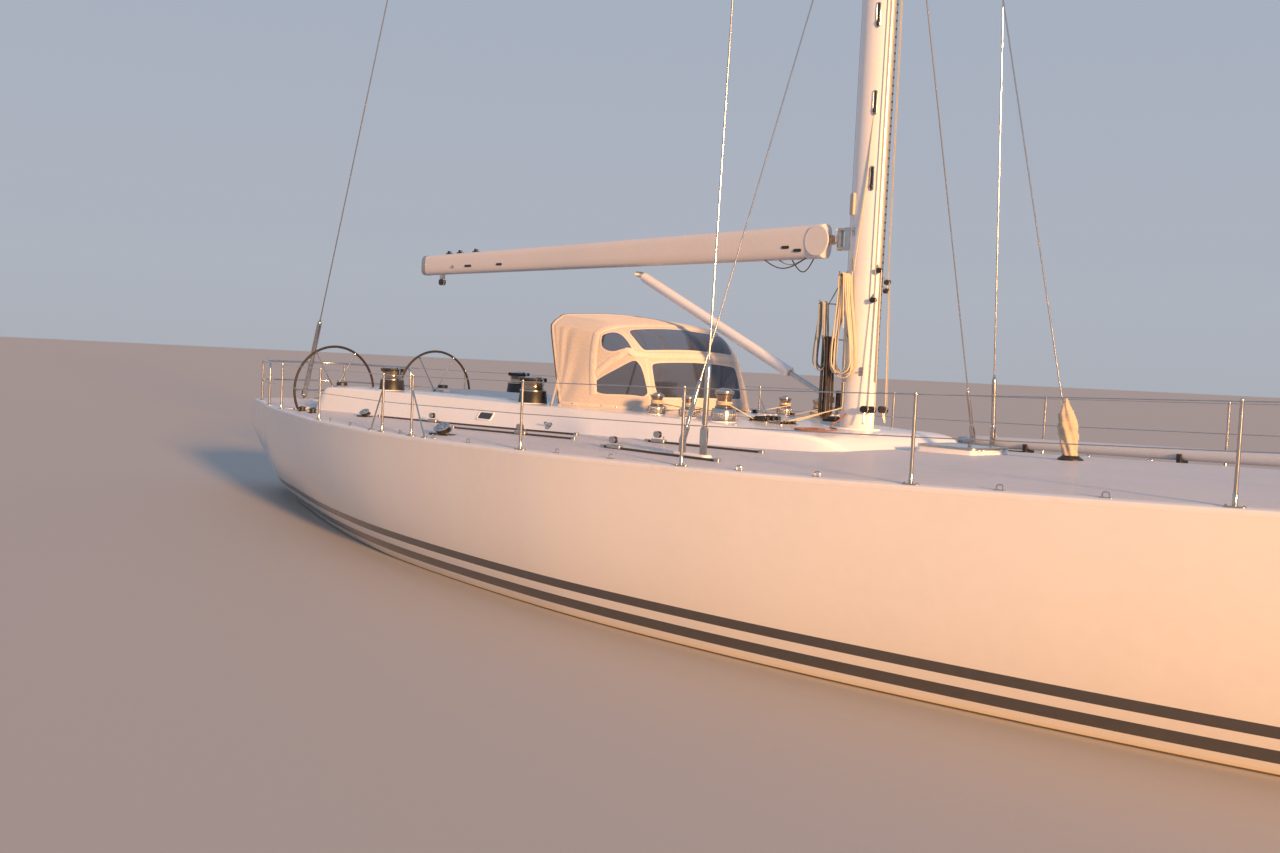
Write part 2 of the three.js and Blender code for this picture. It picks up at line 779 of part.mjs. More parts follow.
function makeToggle() {
  const post = rod([SWING_AXIS_X, 0, BOOM.pinZ - 78], [SWING_AXIS_X, 0, BOOM.pinZ + 78], 34, 16);
  const stub = rod([SWING_AXIS_X, 0, BOOM.pinZ - 110], [SWING_AXIS_X, 0, BOOM.pinZ + 110], 14, 16);
  const cheeks = box(BOOM.pinX - 28, SWING_AXIS_X, -42, 42, BOOM.pinZ - 28, BOOM.pinZ + 28);
  const slot = box(BOOM.pinX - 60, BOOM.pinX + 33, -22, 22, BOOM.pinZ - 90, BOOM.pinZ + 90);
  const pin = rod([BOOM.pinX, -40, BOOM.pinZ], [BOOM.pinX, 40, BOOM.pinZ], 12, 16);
  return post.add(cheeks).subtract(slot).add(pin).add(stub);
}

function bracketPlates(z, reach, low, high, hole) {
  const outline = [[MAST.x - 150, -70], [MAST.x - 150, 70], [SWING_AXIS_X - 10, 40],
    [SWING_AXIS_X - reach, 20], [SWING_AXIS_X - reach, -20], [SWING_AXIS_X - 10, -40]];
  const upper = plateXY(outline, z + low, z + high);
  const lower = plateXY(outline, z - high, z - low);
  const back = box(MAST.x - 215, MAST.x - 150, -70, 70, z - high, z + high);
  const plates = joined([upper, lower, back]).subtract(mastGrown);
  if (!hole) return plates;
  const bore = rod([SWING_AXIS_X, 0, z - 200], [SWING_AXIS_X, 0, z + 200], hole, 16);
  return plates.subtract(bore);
}

const vangFoot = [SWING_AXIS_X, 0, VANG_FOOT_Z];
const vangLug = [BOOM.lugX, 0, BOOM.lugZ];

function makeVangBarrel() {
  const barrel = rod(alongLine(vangLug, vangFoot, 75), alongLine(vangLug, vangFoot, 2550), 56, 16);
  const fork = box(-45, 90, -34, 34, -26, 26);
  const slot = box(-60, 60, -14, 14, -60, 60);
  const tilt = THREE.MathUtils.radToDeg(Math.atan2(BOOM.lugZ - VANG_FOOT_Z, SWING_AXIS_X - BOOM.lugX));
  const head = fork.subtract(slot).rotate([0, tilt, 0]).translate(vangLug);
  const pin = rod([BOOM.lugX, -32, BOOM.lugZ], [BOOM.lugX, 32, BOOM.lugZ], 14, 16);
  const bore = rod(alongLine(vangLug, vangFoot, 400), alongLine(vangLug, vangFoot, 2700), 27, 16);
  return barrel.add(head).add(pin).subtract(bore);
}

function makeVangRod() {
  const length = new THREE.Vector3(...vangFoot).sub(new THREE.Vector3(...vangLug)).length();
  const shaft = rod(alongLine(vangLug, vangFoot, 600), alongLine(vangLug, vangFoot, length), 26.6, 16);
  const eye = rod([SWING_AXIS_X, 0, VANG_FOOT_Z - 30], [SWING_AXIS_X, 0, VANG_FOOT_Z + 30], 32, 16);
  return shaft.add(eye);
}

// Deck gear

function makeWinch(baseRadius, drumRadius, height, skirt) {
  const low = skirt
    ? [[0, -40], [baseRadius, -40], [baseRadius, 12], [baseRadius * 0.94, height * 0.3],
      [baseRadius * 0.94, height * 0.4], [drumRadius, height * 0.44]]
    : [[0, -40], [baseRadius, -40], [baseRadius, height * 0.38], [baseRadius * 0.9, height * 0.42],
      [drumRadius * 1.08, height * 0.46]];
  const high = [[drumRadius, height * 0.6], [drumRadius * 1.04, height * 0.78],
    [drumRadius * (skirt ? 1.12 : 1.25), height * 0.84], [drumRadius * (skirt ? 1.12 : 1.25), height * 0.94],
    [drumRadius * 0.55, height], [0, height]];
  return turned([...low, ...high], 12);
}

function hoodRing([footX, crownX, footHalf, shoulderHalf, shoulderZ, crownZ], inset, drop) {
  const foot = 1780 - drop;
  const place = (z) => lerp(footX, crownX, (z - 1830) / (crownZ - 1830));
  const half = [[footHalf - inset, foot]];
  half.push([lerp(footHalf, shoulderHalf, 0.55) - inset, lerp(1830, shoulderZ, 0.5)]);
  half.push([shoulderHalf - inset, shoulderZ - inset * 0.5]);
  for (const angle of [22, 45, 68]) {
    const a = THREE.MathUtils.degToRad(angle);
    half.push([
      (shoulderHalf - inset) * (0.55 + 0.45 * Math.cos(a)),
      lerp(shoulderZ, crownZ, Math.sin(a) * 0.9) - inset,
    ]);
  }
  const port = half.map(([y, z]) => [place(z), y, z]);
  const starboard = [...half].reverse().map(([y, z]) => [place(z), -y, z]);
  return [...port, [place(crownZ), 0, crownZ - inset], ...starboard];
}

function makeHood() {
  const outer = loft(HOOD_HOOPS.map((hoop) => hoodRing(hoop, 0, 0)));
  const inner = HOOD_HOOPS.map((hoop, i) => {
    const moved = [...hoop];
    if (i === 0) {
      moved[0] -= 60;
      moved[1] -= 60;
    }
    if (i === HOOD_HOOPS.length - 1) {
      moved[0] -= HOOD_WALL;
      moved[1] -= HOOD_WALL;
    }
    return hoodRing(moved, HOOD_WALL, 60);
  });
  return outer.subtract(loft(inner)).subtract(roofFloor);
}

function makeSlide() {
  return middleBox(SLIDE.aft, SLIDE.fore, SLIDE.half, SLIDE.low, SLIDE.high).subtract(roofFloor);
}

function makeWashboard() {
  const aft = COCKPIT.fore + 12;
  const fore = aft + WASHBOARD.thick;
  return middleBox(aft, fore, COMPANIONWAY.half - 1, COMPANIONWAY.sill + GAP, WASHBOARD.top);
}

function makeHatchLid({ x, half, rise, lid }) {
  const top = deckHeight(x, 0) + rise;
  return middleBox(x - half, x + half, half, top, top + lid);
}

function makeHatchFrame({ x, half, rise }) {
  const deckTop = deckHeight(x, 0);
  const hole = half - HATCH_RIM;
  const outer = middleBox(x - half, x + half, half, deckTop - 25, deckTop + rise - GAP);
  const inner = middleBox(x - hole, x + hole, hole, 0, ABOVE_ALL);
  return outer.subtract(inner).subtract(deckFloor);
}

// A square of a pedestal's section at one height
function pedestalRing(half, z) {
  return [[-half, -half], [half, -half], [half, half], [-half, half]].map(([x, y]) => [PEDESTAL.x + x, y, z]);
}

function makePedestal(side) {
  const inside = PEDESTAL.x - 40;
  const post = loft([pedestalRing(PEDESTAL.foot, COCKPIT.sole + GAP), pedestalRing(PEDESTAL.head, PEDESTAL.top)]);
  const boss = rod([inside, 0, WHEEL.z], [WHEEL.x + 60, 0, WHEEL.z], 55, 16);
  const bore = rod([inside, 0, WHEEL.z], [WHEEL.x, 0, WHEEL.z], AXLE.bore, 16);
  const dome = [[0, -5], [1, -5], [1, 40], [0.7, 80], [0, 95]];
  const compass = turned(dome.map(([r, z]) => [r * PEDESTAL.compass, PEDESTAL.top + z]), 16);
  return post
    .add(boss)
    .add(compass.translate([PEDESTAL.x, 0, 0]))
    .subtract(bore)
    .translate([0, side * WHEEL.y, 0]);
}

function makeWheel(side) {
  const rim = new THREE.TorusGeometry(WHEEL.radius, WHEEL.tube, 6, 30);
  rim.rotateY(Math.PI / 2);
  rim.translate(WHEEL.x, 0, WHEEL.z);
  const hub = rod([WHEEL.x - 35, 0, WHEEL.z], [WHEEL.x + 35, 0, WHEEL.z], WHEEL.hub, 16);
  const axle = rod([WHEEL.x, 0, WHEEL.z], [PEDESTAL.x - 50, 0, WHEEL.z], AXLE.radius, 16);
  const spokes = Array.from({ length: WHEEL.spokes }, (_, i) => {
    const a = (i / WHEEL.spokes) * Math.PI * 2;
    const end = [WHEEL.x, WHEEL.radius * Math.cos(a), WHEEL.z + WHEEL.radius * Math.sin(a)];
    return rod([WHEEL.x, 0, WHEEL.z], end, 9, 6);
  });
  return joined([solidOf(rim), hub, axle, ...spokes]).translate([0, side * WHEEL.y, 0]);
}

function makeTraveller() {
  const { x, half, low, beam, track, car } = TRAVELLER;
  const reach = COCKPIT.half - GAP;
  return joined([
    middleBox(x - half, x + half, reach, low, beam),
    middleBox(x - 25, x + 25, reach, beam - 5, track),
    middleBox(x - half, x + half, 60, track - 10, car),
  ]);
}

// Guardrails

function railY(x) {
  return hullAt(x).half - RAIL_INSET;
}

const PULPIT_TOP = 11330;
const PUSHPIT_FORE = -9950;

function mirrored(points) {
  return [...points.map(([x, y, z]) => [x, -y, z]).reverse(), ...points];
}

function pulpitSolid(radius) {
  const aftY = railY(9350);
  const foreY = railY(10450);
  const aftDeck = deckHeight(9350, aftY);
  const foreDeck = deckHeight(10450, foreY);
  const high = mirrored([
    [PULPIT_TOP, 90, foreDeck + RAIL_HEIGHT + 60],
    [11150, 190, foreDeck + RAIL_HEIGHT + 50],
    [10450, foreY, foreDeck + RAIL_HEIGHT],
    [9350, aftY, aftDeck + RAIL_HEIGHT],
    [9350, aftY, aftDeck - 20],
  ]);
  const parts = [rodChain(high, radius)];
  for (const side of [-1, 1]) {
    parts.push(rod([10450, side * foreY, foreDeck - 20], [10450, side * foreY, foreDeck + RAIL_HEIGHT], radius));
    parts.push(rod(
      [9350, side * aftY, aftDeck + RAIL_MIDDLE],
      [10450, side * foreY, foreDeck + RAIL_MIDDLE],
      radius * 0.8,
    ));
  }
  return joined(parts).subtract(deckFloor);
}

function pushpitSolid(radius) {
  const cornerY = railY(-11200);
  const foreY = railY(PUSHPIT_FORE);
  const cornerDeck = deckHeight(-11200, cornerY);
  const foreDeck = deckHeight(PUSHPIT_FORE, foreY);
  const rail = (rise) => [
    [-11400, 120, cornerDeck + rise],
    [-11360, 420, cornerDeck + rise],
    [-11200, cornerY, cornerDeck + rise],
    [PUSHPIT_FORE, foreY, foreDeck + rise],
  ];
  const high = mirrored([...rail(RAIL_HEIGHT), [PUSHPIT_FORE, foreY, foreDeck - 20]]);
  const parts = [rodChain(high, radius), rodChain(mirrored(rail(RAIL_MIDDLE)), radius * 0.8)];
  for (const side of [-1, 1]) {
    parts.push(rod(
      [-11200, side * cornerY, cornerDeck - 20],
      [-11200, side * cornerY, cornerDeck + RAIL_HEIGHT],
      radius,
    ));
  }
  return joined(parts).subtract(deckFloor);
}

function makeGuardrail(side) {
  const parts = [];
  const highs = [];
  const middles = [];
  for (const x of STANCHIONS) {
    const y = side * railY(x);
    const base = deckHeight(x, y);
    parts.push(rod([x, y, base - 20], [x, y, base + RAIL_HEIGHT + 12], 13, 6));
    parts.push(rod([x, y, base - 20], [x, y, base + 14], 34, 8));
    highs.push([x, y, base + RAIL_HEIGHT]);
    middles.push([x, y, base + RAIL_MIDDLE]);
    const brace = GATE.indexOf(x);
    if (brace >= 0) {
      const foot = x + (brace === 0 ? 300 : -300);
      parts.push(rod([x, y, base + 480], [foot, side * railY(foot), deckHeight(foot, railY(foot)) - 15], 9, 6));
    }
  }
  const ends = [9350, PUSHPIT_FORE];
  for (const [list, rise] of [[highs, RAIL_HEIGHT - 3], [middles, RAIL_MIDDLE]]) {
    const [fore, aft] = ends.map((x) => [x, side * railY(x), deckHeight(x, railY(x)) + rise]);
    parts.push(rodChain([fore, ...list, aft], 4, 4));
  }
  return joined(parts).subtract(deckFloor).subtract(pulpitGrown).subtract(pushpitGrown);
}

const TUBE = 16;
const pulpitGrown = pulpitSolid(TUBE + GAP);
const pushpitGrown = pushpitSolid(TUBE + GAP);

// The assembly

const hull = makeHull();

addPiece('hull', hull, LOOKS.topsides);
addPiece('deck', makeDeck(), LOOKS.deck);
addPiece('cockpit_tub', makeTub(), LOOKS.moulding);
addPiece('coachroof', makeRoof(), LOOKS.moulding);
addPiece('keel_fin', makeFin(hull), LOOKS.foil);
addPiece('keel_ballast', makeBallast(), LOOKS.lead);
addPiece('rudder', makeRudder(), LOOKS.foil);
addPiece('shaft_strut', makeStrut(hull), LOOKS.bronze);
addPiece('propeller', makePropeller(), LOOKS.bronze);
addPiece('mast', makeMast(), LOOKS.spar);
addPiece('mast_collar', makeMastCollar(), LOOKS.moulding);
addPiece('masthead_crane', makeMasthead(), LOOKS.spar);
for (const [name, z, tip] of SPREADERS) addPiece(name, makeSpreaders(z, tip), LOOKS.spar);

for (const [word, side] of [['starboard', -1], ['port', 1]]) {
  addPiece(`chainplate_${word}`, makeChainplate(side), LOOKS.steel);
  addPiece(`cap_shroud_${word}`, makeCapShroud(side), LOOKS.steel);
  addPiece(`lower_shroud_${word}`, makeLowerShroud(side), LOOKS.steel);
  addPiece(`guardrail_${word}`, makeGuardrail(side), LOOKS.steel);
  for (const [name, x, y, base, drum, height, skirt] of WINCHES) {
    const seat = column(ROOF_STATIONS, 3, x) + 12;
    const winch = makeWinch(base, drum, height, skirt).translate([x, side * y, seat]).subtract(roofFloor);
    addPiece(`${name}_${word}`, winch, LOOKS.steel);
  }
}

addPiece('forestay', makeForestay(), LOOKS.steel);
addPiece('backstay', makeBackstay(), LOOKS.steel);
addPiece('babystay', makeBabystay(), LOOKS.steel);
addPiece('stem_fitting', stemFitting, LOOKS.steel);
addPiece('backstay_plate', backstayPlate, LOOKS.steel);
addPiece('babystay_pad', babystayPad, LOOKS.steel);
addPiece('pulpit', pulpitSolid(TUBE), LOOKS.steel);
addPiece('pushpit', pushpitSolid(TUBE), LOOKS.steel);

addPiece('gooseneck_bracket', bracketPlates(BOOM.pinZ, 45, 81, 105, 14.7), LOOKS.steel);
addPiece('gooseneck_toggle', makeToggle(), LOOKS.steel);
addPiece('boom', makeBoom(), LOOKS.spar);
addPiece('boom_end_fitting', makeBoomEnd(), LOOKS.spar);
addPiece('vang_bracket', bracketPlates(VANG_FOOT_Z, 25, 70, 92, 0), LOOKS.steel);
addPiece('vang_barrel', makeVangBarrel(), LOOKS.spar);
addPiece('vang_rod', makeVangRod(), LOOKS.steel);

addPiece('spray_hood', makeHood(), LOOKS.canvas);
addPiece('companionway_slide', makeSlide(), LOOKS.moulding);
addPiece('washboard', makeWashboard(), LOOKS.wood);
addPiece('fore_hatch_frame', makeHatchFrame(FORE_HATCH), LOOKS.alloy);
addPiece('fore_hatch_lid', makeHatchLid(FORE_HATCH), LOOKS.acrylic);
addPiece('aft_hatch_frame', makeHatchFrame(AFT_HATCH), LOOKS.alloy);
addPiece('aft_hatch_lid', makeHatchLid(AFT_HATCH), LOOKS.moulding);
for (const [word, side] of [['starboard', -1], ['port', 1]]) {
  addPiece(`steering_pedestal_${word}`, makePedestal(side), LOOKS.moulding);
  addPiece(`steering_wheel_${word}`, makeWheel(side), LOOKS.steel);
}
addPiece('mainsheet_traveller', makeTraveller(), LOOKS.alloy);

export default root;
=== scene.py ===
# A sailing yacht afloat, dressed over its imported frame.
# Metres. +X points to the bow, +Y to port and +Z up, and the water lies at z = 0.

from math import atan2, copysign, cos, exp, hypot, pi, radians, sin
from types import SimpleNamespace as Sizes

import bmesh
import bpy
from mathutils import Matrix, Vector
from mathutils.geometry import delaunay_2d_cdt

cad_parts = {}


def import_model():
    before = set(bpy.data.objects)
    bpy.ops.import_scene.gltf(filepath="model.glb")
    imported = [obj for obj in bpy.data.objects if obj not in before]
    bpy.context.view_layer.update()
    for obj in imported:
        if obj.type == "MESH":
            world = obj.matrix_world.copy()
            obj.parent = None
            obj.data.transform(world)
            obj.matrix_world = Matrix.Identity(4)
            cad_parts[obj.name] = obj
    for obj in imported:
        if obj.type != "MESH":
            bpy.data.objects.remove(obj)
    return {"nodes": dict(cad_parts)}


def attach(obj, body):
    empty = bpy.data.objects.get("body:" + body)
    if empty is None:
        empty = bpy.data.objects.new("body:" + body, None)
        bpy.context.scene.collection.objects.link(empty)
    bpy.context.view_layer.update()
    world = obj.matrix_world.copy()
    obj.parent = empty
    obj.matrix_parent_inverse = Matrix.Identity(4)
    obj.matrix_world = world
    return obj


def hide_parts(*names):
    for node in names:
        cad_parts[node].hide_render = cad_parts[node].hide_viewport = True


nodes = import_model()["nodes"]
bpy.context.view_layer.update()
scene = bpy.context.scene
at, spun = Matrix.Translation, Matrix.Rotation

# Camera
# It stands off the starboard bow at about rail height and looks aft along the deck.

EYE = Vector((7.41, -9.766, 2.337))
YAW = radians(47.26)
PITCH = radians(2.968)
ROLL = radians(2.743)
FOCAL_PIXELS = 1255.26
IMAGE_WIDTH = 1280

UP = Vector((0, 0, 1))
level_right = Vector((cos(YAW), sin(YAW), 0))
level_ahead = Vector((-sin(YAW), cos(YAW), 0))
ahead = level_ahead * cos(PITCH) - UP * sin(PITCH)
above = UP * cos(PITCH) + level_ahead * sin(PITCH)
right = level_right * cos(ROLL) + above * sin(ROLL)
top = above * cos(ROLL) - level_right * sin(ROLL)

camera_data = bpy.data.cameras.new("camera")
camera_data.sensor_width = 36
camera_data.lens = camera_data.sensor_width * FOCAL_PIXELS / IMAGE_WIDTH
camera_data.clip_end = 500
camera = bpy.data.objects.new("camera", camera_data)
camera.matrix_world = at(EYE) @ Matrix((right, top, -ahead)).transposed().to_4x4()
scene.collection.objects.link(camera)
scene.camera = camera

# Floor and lights
# A matte grey floor lies at the waterline. A low orange light stands off the starboard bow, and
# a pale surround, bluer overhead, fills the shade.

FLOOR_SIZE = 4000
SUN_FROM = Vector((0.96, -0.27, 0.19))


def put(tree, kind, sockets=None, **settings):
    """A new node with its settings, its sockets given values or linked to others."""
    node = tree.nodes.new(kind)
    for name, value in settings.items():
        setattr(node, name, value)
    for socket, value in (sockets or {}).items():
        if isinstance(value, bpy.types.NodeSocket):
            tree.links.new(value, node.inputs[socket])
        else:
            node.inputs[socket].default_value = value
    return node


def maths(tree, operation, *values):
    return put(tree, "ShaderNodeMath", dict(enumerate(values)), operation=operation).outputs[0]


def own_place(tree):
    return put(tree, "ShaderNodeTexCoord").outputs["Object"]


def noise(tree, vector, scale, detail=3):
    sockets = {"Vector": vector, "Scale": scale, "Detail": detail}
    return put(tree, "ShaderNodeTexNoise", sockets).outputs["Fac"]


def spread(tree, value, low, high, to_low=0, to_high=1):
    """Maps low..high of a value to another range, held at its ends."""
    sockets = {"Value": value, "From Min": low, "From Max": high, "To Min": to_low, "To Max": to_high}
    return put(tree, "ShaderNodeMapRange", sockets).outputs["Result"]


def mixed(tree, factor, first, second):
    return put(tree, "ShaderNodeMix", {0: factor, 6: first, 7: second}, data_type="RGBA").outputs[2]


def wave(tree, vector, direction, scale, distortion, detail):
    sockets = {"Vector": vector, "Scale": scale, "Distortion": distortion, "Detail": detail}
    return put(tree, "ShaderNodeTexWave", sockets, bands_direction=direction).outputs["Fac"]


def rgb(code):
    """A hex colour as the linear values that sockets take."""
    parts = [int(code[i:i + 2], 16) / 255 for i in (0, 2, 4)]
    return (*[c / 12.92 if c < 0.04 else ((c + 0.055) / 1.055) ** 2.4 for c in parts], 1)


def new_material(name, **sockets):
    """A material, its node tree and its Principled shader with plain values."""
    made = bpy.data.materials.new(name)
    made.use_nodes = True
    shader = made.node_tree.nodes["Principled BSDF"]
    for socket, value in sockets.items():
        shader.inputs[socket.replace("_", " ")].default_value = value
    return made, made.node_tree, shader


def linked_object(name, mesh):
    obj = bpy.data.objects.new(name, mesh)
    scene.collection.objects.link(obj)
    return obj


floor_finish, tree, shader = new_material("studio_floor", Roughness=0.75)
shader.inputs["Base Color"].default_value = rgb("b4aea8")
floor_mesh = bpy.data.meshes.new("floor")
reach = FLOOR_SIZE / 2
corners = [(-reach, -reach, 0), (reach, -reach, 0), (reach, reach, 0), (-reach, reach, 0)]
floor_mesh.from_pydata(corners, [], [(0, 1, 2, 3)])
floor_mesh.materials.append(floor_finish)
linked_object("floor", floor_mesh)

sun = bpy.data.lights.new("sun", "SUN")
sun.energy = 7.2
sun.angle = radians(5)
sun.color = (1, 0.52, 0.2)
sun_object = linked_object("sun", sun)
sun_object.rotation_euler = SUN_FROM.to_track_quat("Z", "Y").to_euler()

world = bpy.data.worlds.new("surround")
world.use_nodes = True
scene.world = world
tree = world.node_tree
direction = put(tree, "ShaderNodeTexCoord").outputs["Generated"]
height = put(tree, "ShaderNodeSeparateXYZ", {"Vector": direction}).outputs["Z"]
ramp = put(tree, "ShaderNodeValToRGB", {"Fac": spread(tree, height, -0.1, 0.9)})
ramp.color_ramp.elements[0].color = (0.64, 0.67, 0.74, 1)
ramp.color_ramp.elements[1].color = (0.47, 0.64, 0.94, 1)
ramp.color_ramp.elements.new(0.16).color = (0.71, 0.76, 0.86, 1)
background = tree.nodes["Background"]
background.inputs["Strength"].default_value = 0.6
tree.links.new(ramp.outputs["Color"], background.inputs["Color"])
scene.view_settings.view_transform = "Standard"

# Hull
# A moulded glass-fibre shell in glossy off-white gelcoat, made in one piece. Two dark boot stripes
# are painted above the water, and the bottom below it has dark antifouling paint.

GAP = 0.0003
DECK_THICK = 0.04
CAMBER = 0.12
WIDEST_HALF = 2.88
STATIONS = (
    # x, half beam at the deck, deck edge height, keel line height, fullness
    (-12.6, 0.33, 1.45, 0.815, 2),
    (-12, 0.52, 1.446, 0.53, 2.1),
    (-11.05, 0.83, 1.44, 0.09, 2.2),
    (-10, 1.25, 1.434, -0.16, 2.3),
    (-8.91, 1.6, 1.43, -0.31, 2.35),
    (-6.6, 2.26, 1.432, -0.59, 2.4),
    (-4.46, 2.66, 1.44, -0.81, 2.45),
    (-1.7, 2.88, 1.48, -0.94, 2.45),
    (0.34, 2.83, 1.52, -0.95, 2.4),
    (2.38, 2.63, 1.58, -0.88, 2.3),
    (4.42, 2.32, 1.65, -0.74, 2.15),
    (6.5, 1.84, 1.735, -0.56, 1.95),
    (8.5, 1.18, 1.835, -0.33, 1.7),
    (9.6, 0.76, 1.893, 0, 1.5),
    (10.6, 0.35, 1.943, 1.06, 1.4),
    (11.4, 0.03, 1.985, 1.91, 1.3),
)
HULL_SPACING = 0.12
HULL_SIDE_STEPS = 26
TRANSOM_TOP = Vector((-11.48, 0, 1.52))
TRANSOM_FOOT = Vector((-12.62, 0, 0.76))
COCKPIT = Sizes(aft=-9.45, fore=-3.4, half=0.8, sole=1)
HELM = Sizes(aft=-8.86, fore=-8.34, half=1.495)
COMPANIONWAY = Sizes(fore=-2.75, half=0.33, sill=1.06)
ABOVE_ALL = 2.6
HULL_HOLLOWS = (
    # aft, fore, half width, floor
    (-9.6, 1.7, 1.05, 0.9397),
    (-8.92, -8.28, 1.521, 0.9397),
    (-3.33, 1.7, 1.05, -0.35),
    (-10.65, -9.65, 0.5, 0.95),
)
# Paint bands of the topsides, from their lower edge: height, colour
BANDS = ((-0.5, "23282f"), (0, "6a5f50"), (0.012, "e9ddc8"), (0.042, "e9e4e0"), (0.095, "47474c"),
    (0.195, "e9e4e0"), (0.275, "47474c"), (0.36, "e9e4e0"))


def along(table, index, x):
    """A smooth curve through one column of a table."""
    last = len(table) - 1
    i = next((k for k in range(last) if x <= table[k + 1][0]), last - 1)

    def slope(k):
        a, b = table[max(k - 1, 0)], table[min(k + 1, last)]
        return (b[index] - a[index]) / (b[0] - a[0])

    here, there = table[i], table[i + 1]
    span = there[0] - here[0]
    t = min(max((x - here[0]) / span, 0), 1)
    h = t * t * (3 - 2 * t)
    left = span * t * (1 - t) ** 2 * slope(i)
    right = span * t * t * (1 - t) * slope(i + 1)
    return here[index] * (1 - h) + there[index] * h + left - right


def half_beam(x):
    return along(STATIONS, 1, x)


def deck_z(x, y):
    half = half_beam(x)
    return along(STATIONS, 2, x) + CAMBER * half / WIDEST_HALF * (1 - (y / half) ** 2)


def angles(count):
    """Evenly spaced angles once round."""
    return [2 * pi * k / count for k in range(count)]


def steps(first, last, spacing):
    """Evenly spaced values that include both ends."""
    count = max(1, round(abs(last - first) / spacing))
    return [first + (last - first) * i / count for i in range(count + 1)]


def hull_ring(x):
    half, sheer, keel, full = (along(STATIONS, index, x) for index in (1, 2, 3, 4))
    edge = sheer - DECK_THICK - GAP
    side = []
    for step in range(HULL_SIDE_STEPS + 1):
        angle = pi / 2 * step / HULL_SIDE_STEPS
        depth = max(cos(angle), 0) ** (2 / full)
        side.append((half * sin(angle) ** (2 / full), edge - (edge - keel) * depth))
    ring = [(x, -y, z) for y, z in reversed(side)] + [(x, y, z) for y, z in side[1:]]
    for fraction in (0.75, 0.5, 0.25, 0, -0.25, -0.5, -0.75):
        y = fraction * half
        ring.append((x, y, deck_z(x, y) - DECK_THICK - GAP))
    return ring


def skin(mesh, rings, looped=False, slot=0):
    """Covers rings of points with faces, and closes the ends or joins them."""
    rows = [[mesh.verts.new(point) for point in ring] for ring in rings]
    faces = []
    for ring, after in zip(rows, rows[1:] + rows[:1] * looped):
        for j in range(len(ring)):
            k = (j + 1) % len(ring)
            faces.append(mesh.faces.new((ring[j], ring[k], after[k], after[j])))
    if not looped:
        faces += [mesh.faces.new(rows[0][::-1]), mesh.faces.new(rows[-1])]
    for face in faces:
        face.material_index = slot


def block(mesh, low, high, slot=0):
    outline = [(low[0], low[1]), (high[0], low[1]), (high[0], high[1]), (low[0], high[1])]
    skin(mesh, [[(x, y, z) for x, y in outline] for z in (low[2], high[2])], slot=slot)


def finished(name, mesh, finishes, sharp=32):
    """An object from a bmesh, with its materials, smooth but for its sharp edges."""
    bmesh.ops.recalc_face_normals(mesh, faces=mesh.faces)
    data = bpy.data.meshes.new(name)
    mesh.to_mesh(data)
    mesh.free()
    for finish in finishes:
        data.materials.append(finish)
    data.shade_smooth()
    data.set_sharp_from_angle(angle=radians(sharp))
    return linked_object(name, data)


def settled(obj, slot, *replaced, body="yacht"):
    """Puts a piece on its body, in place of CAD nodes. Its slot is not used."""
    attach(obj, body)
    if replaced:
        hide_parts(*replaced)
    return obj


def fitted(name, mesh, finishes, slot, *replaced, body="yacht", sharp=32):
    return settled(finished(name, mesh, finishes, sharp), slot, *replaced, body=body)


def dressed(name, finish):
    """Gives a CAD node that stays in view its finish."""
    nodes[name].data.materials.clear()
    nodes[name].data.materials.append(finish)


def applied(obj):
    """Turns an object's modifiers into plain mesh."""
    evaluated = obj.evaluated_get(bpy.context.evaluated_depsgraph_get())
    data = bpy.data.meshes.new_from_object(evaluated)
    data.name = obj.name
    obj.modifiers.clear()
    obj.data = data


def carved(obj, cutters):
    """Cuts other bmesh shapes out of an object."""
    for cutter in cutters:
        tool = finished("cutter", cutter, [])
        modifier = obj.modifiers.new("cut", "BOOLEAN")
        modifier.operation = "DIFFERENCE"
        modifier.solver = "EXACT"
        modifier.object = tool
        applied(obj)
        bpy.data.objects.remove(tool)


def middle_box(aft, fore, half, low, high=ABOVE_ALL):
    mesh = bmesh.new()
    block(mesh, (aft, -half, low), (fore, half, high))
    return mesh


def transom_trimmed(mesh):
    """Cuts the stern off along the sloping transom and closes the cut."""
    slope = TRANSOM_FOOT - TRANSOM_TOP
    normal = Vector((slope.z, 0, -slope.x))
    everything = mesh.verts[:] + mesh.edges[:] + mesh.faces[:]
    cut = bmesh.ops.bisect_plane(mesh, geom=everything, plane_co=TRANSOM_TOP, plane_no=normal,
        clear_outer=normal.x < 0, clear_inner=normal.x > 0)
    rim = [item for item in cut["geom_cut"] if isinstance(item, bmesh.types.BMEdge)]
    bmesh.ops.contextual_create(mesh, geom=rim)


def group(name, inputs, outputs):
    """A shader node group, with its input values and its outputs by name."""
    made = bpy.data.node_groups.new(name, "ShaderNodeTree")
    kinds = {float: "NodeSocketFloat", tuple: "NodeSocketColor", type(None): "NodeSocketVector"}
    for socket, value in inputs.items():
        item = made.interface.new_socket(socket, in_out="INPUT", socket_type=kinds[type(value)])
        if value is not None:
            item.default_value = value
    for socket, kind in outputs.items():
        made.interface.new_socket(socket, in_out="OUTPUT", socket_type=kinds[kind])
    entry = made.nodes.new("NodeGroupInput").outputs
    leave = made.nodes.new("NodeGroupOutput").inputs
    return made, entry, leave


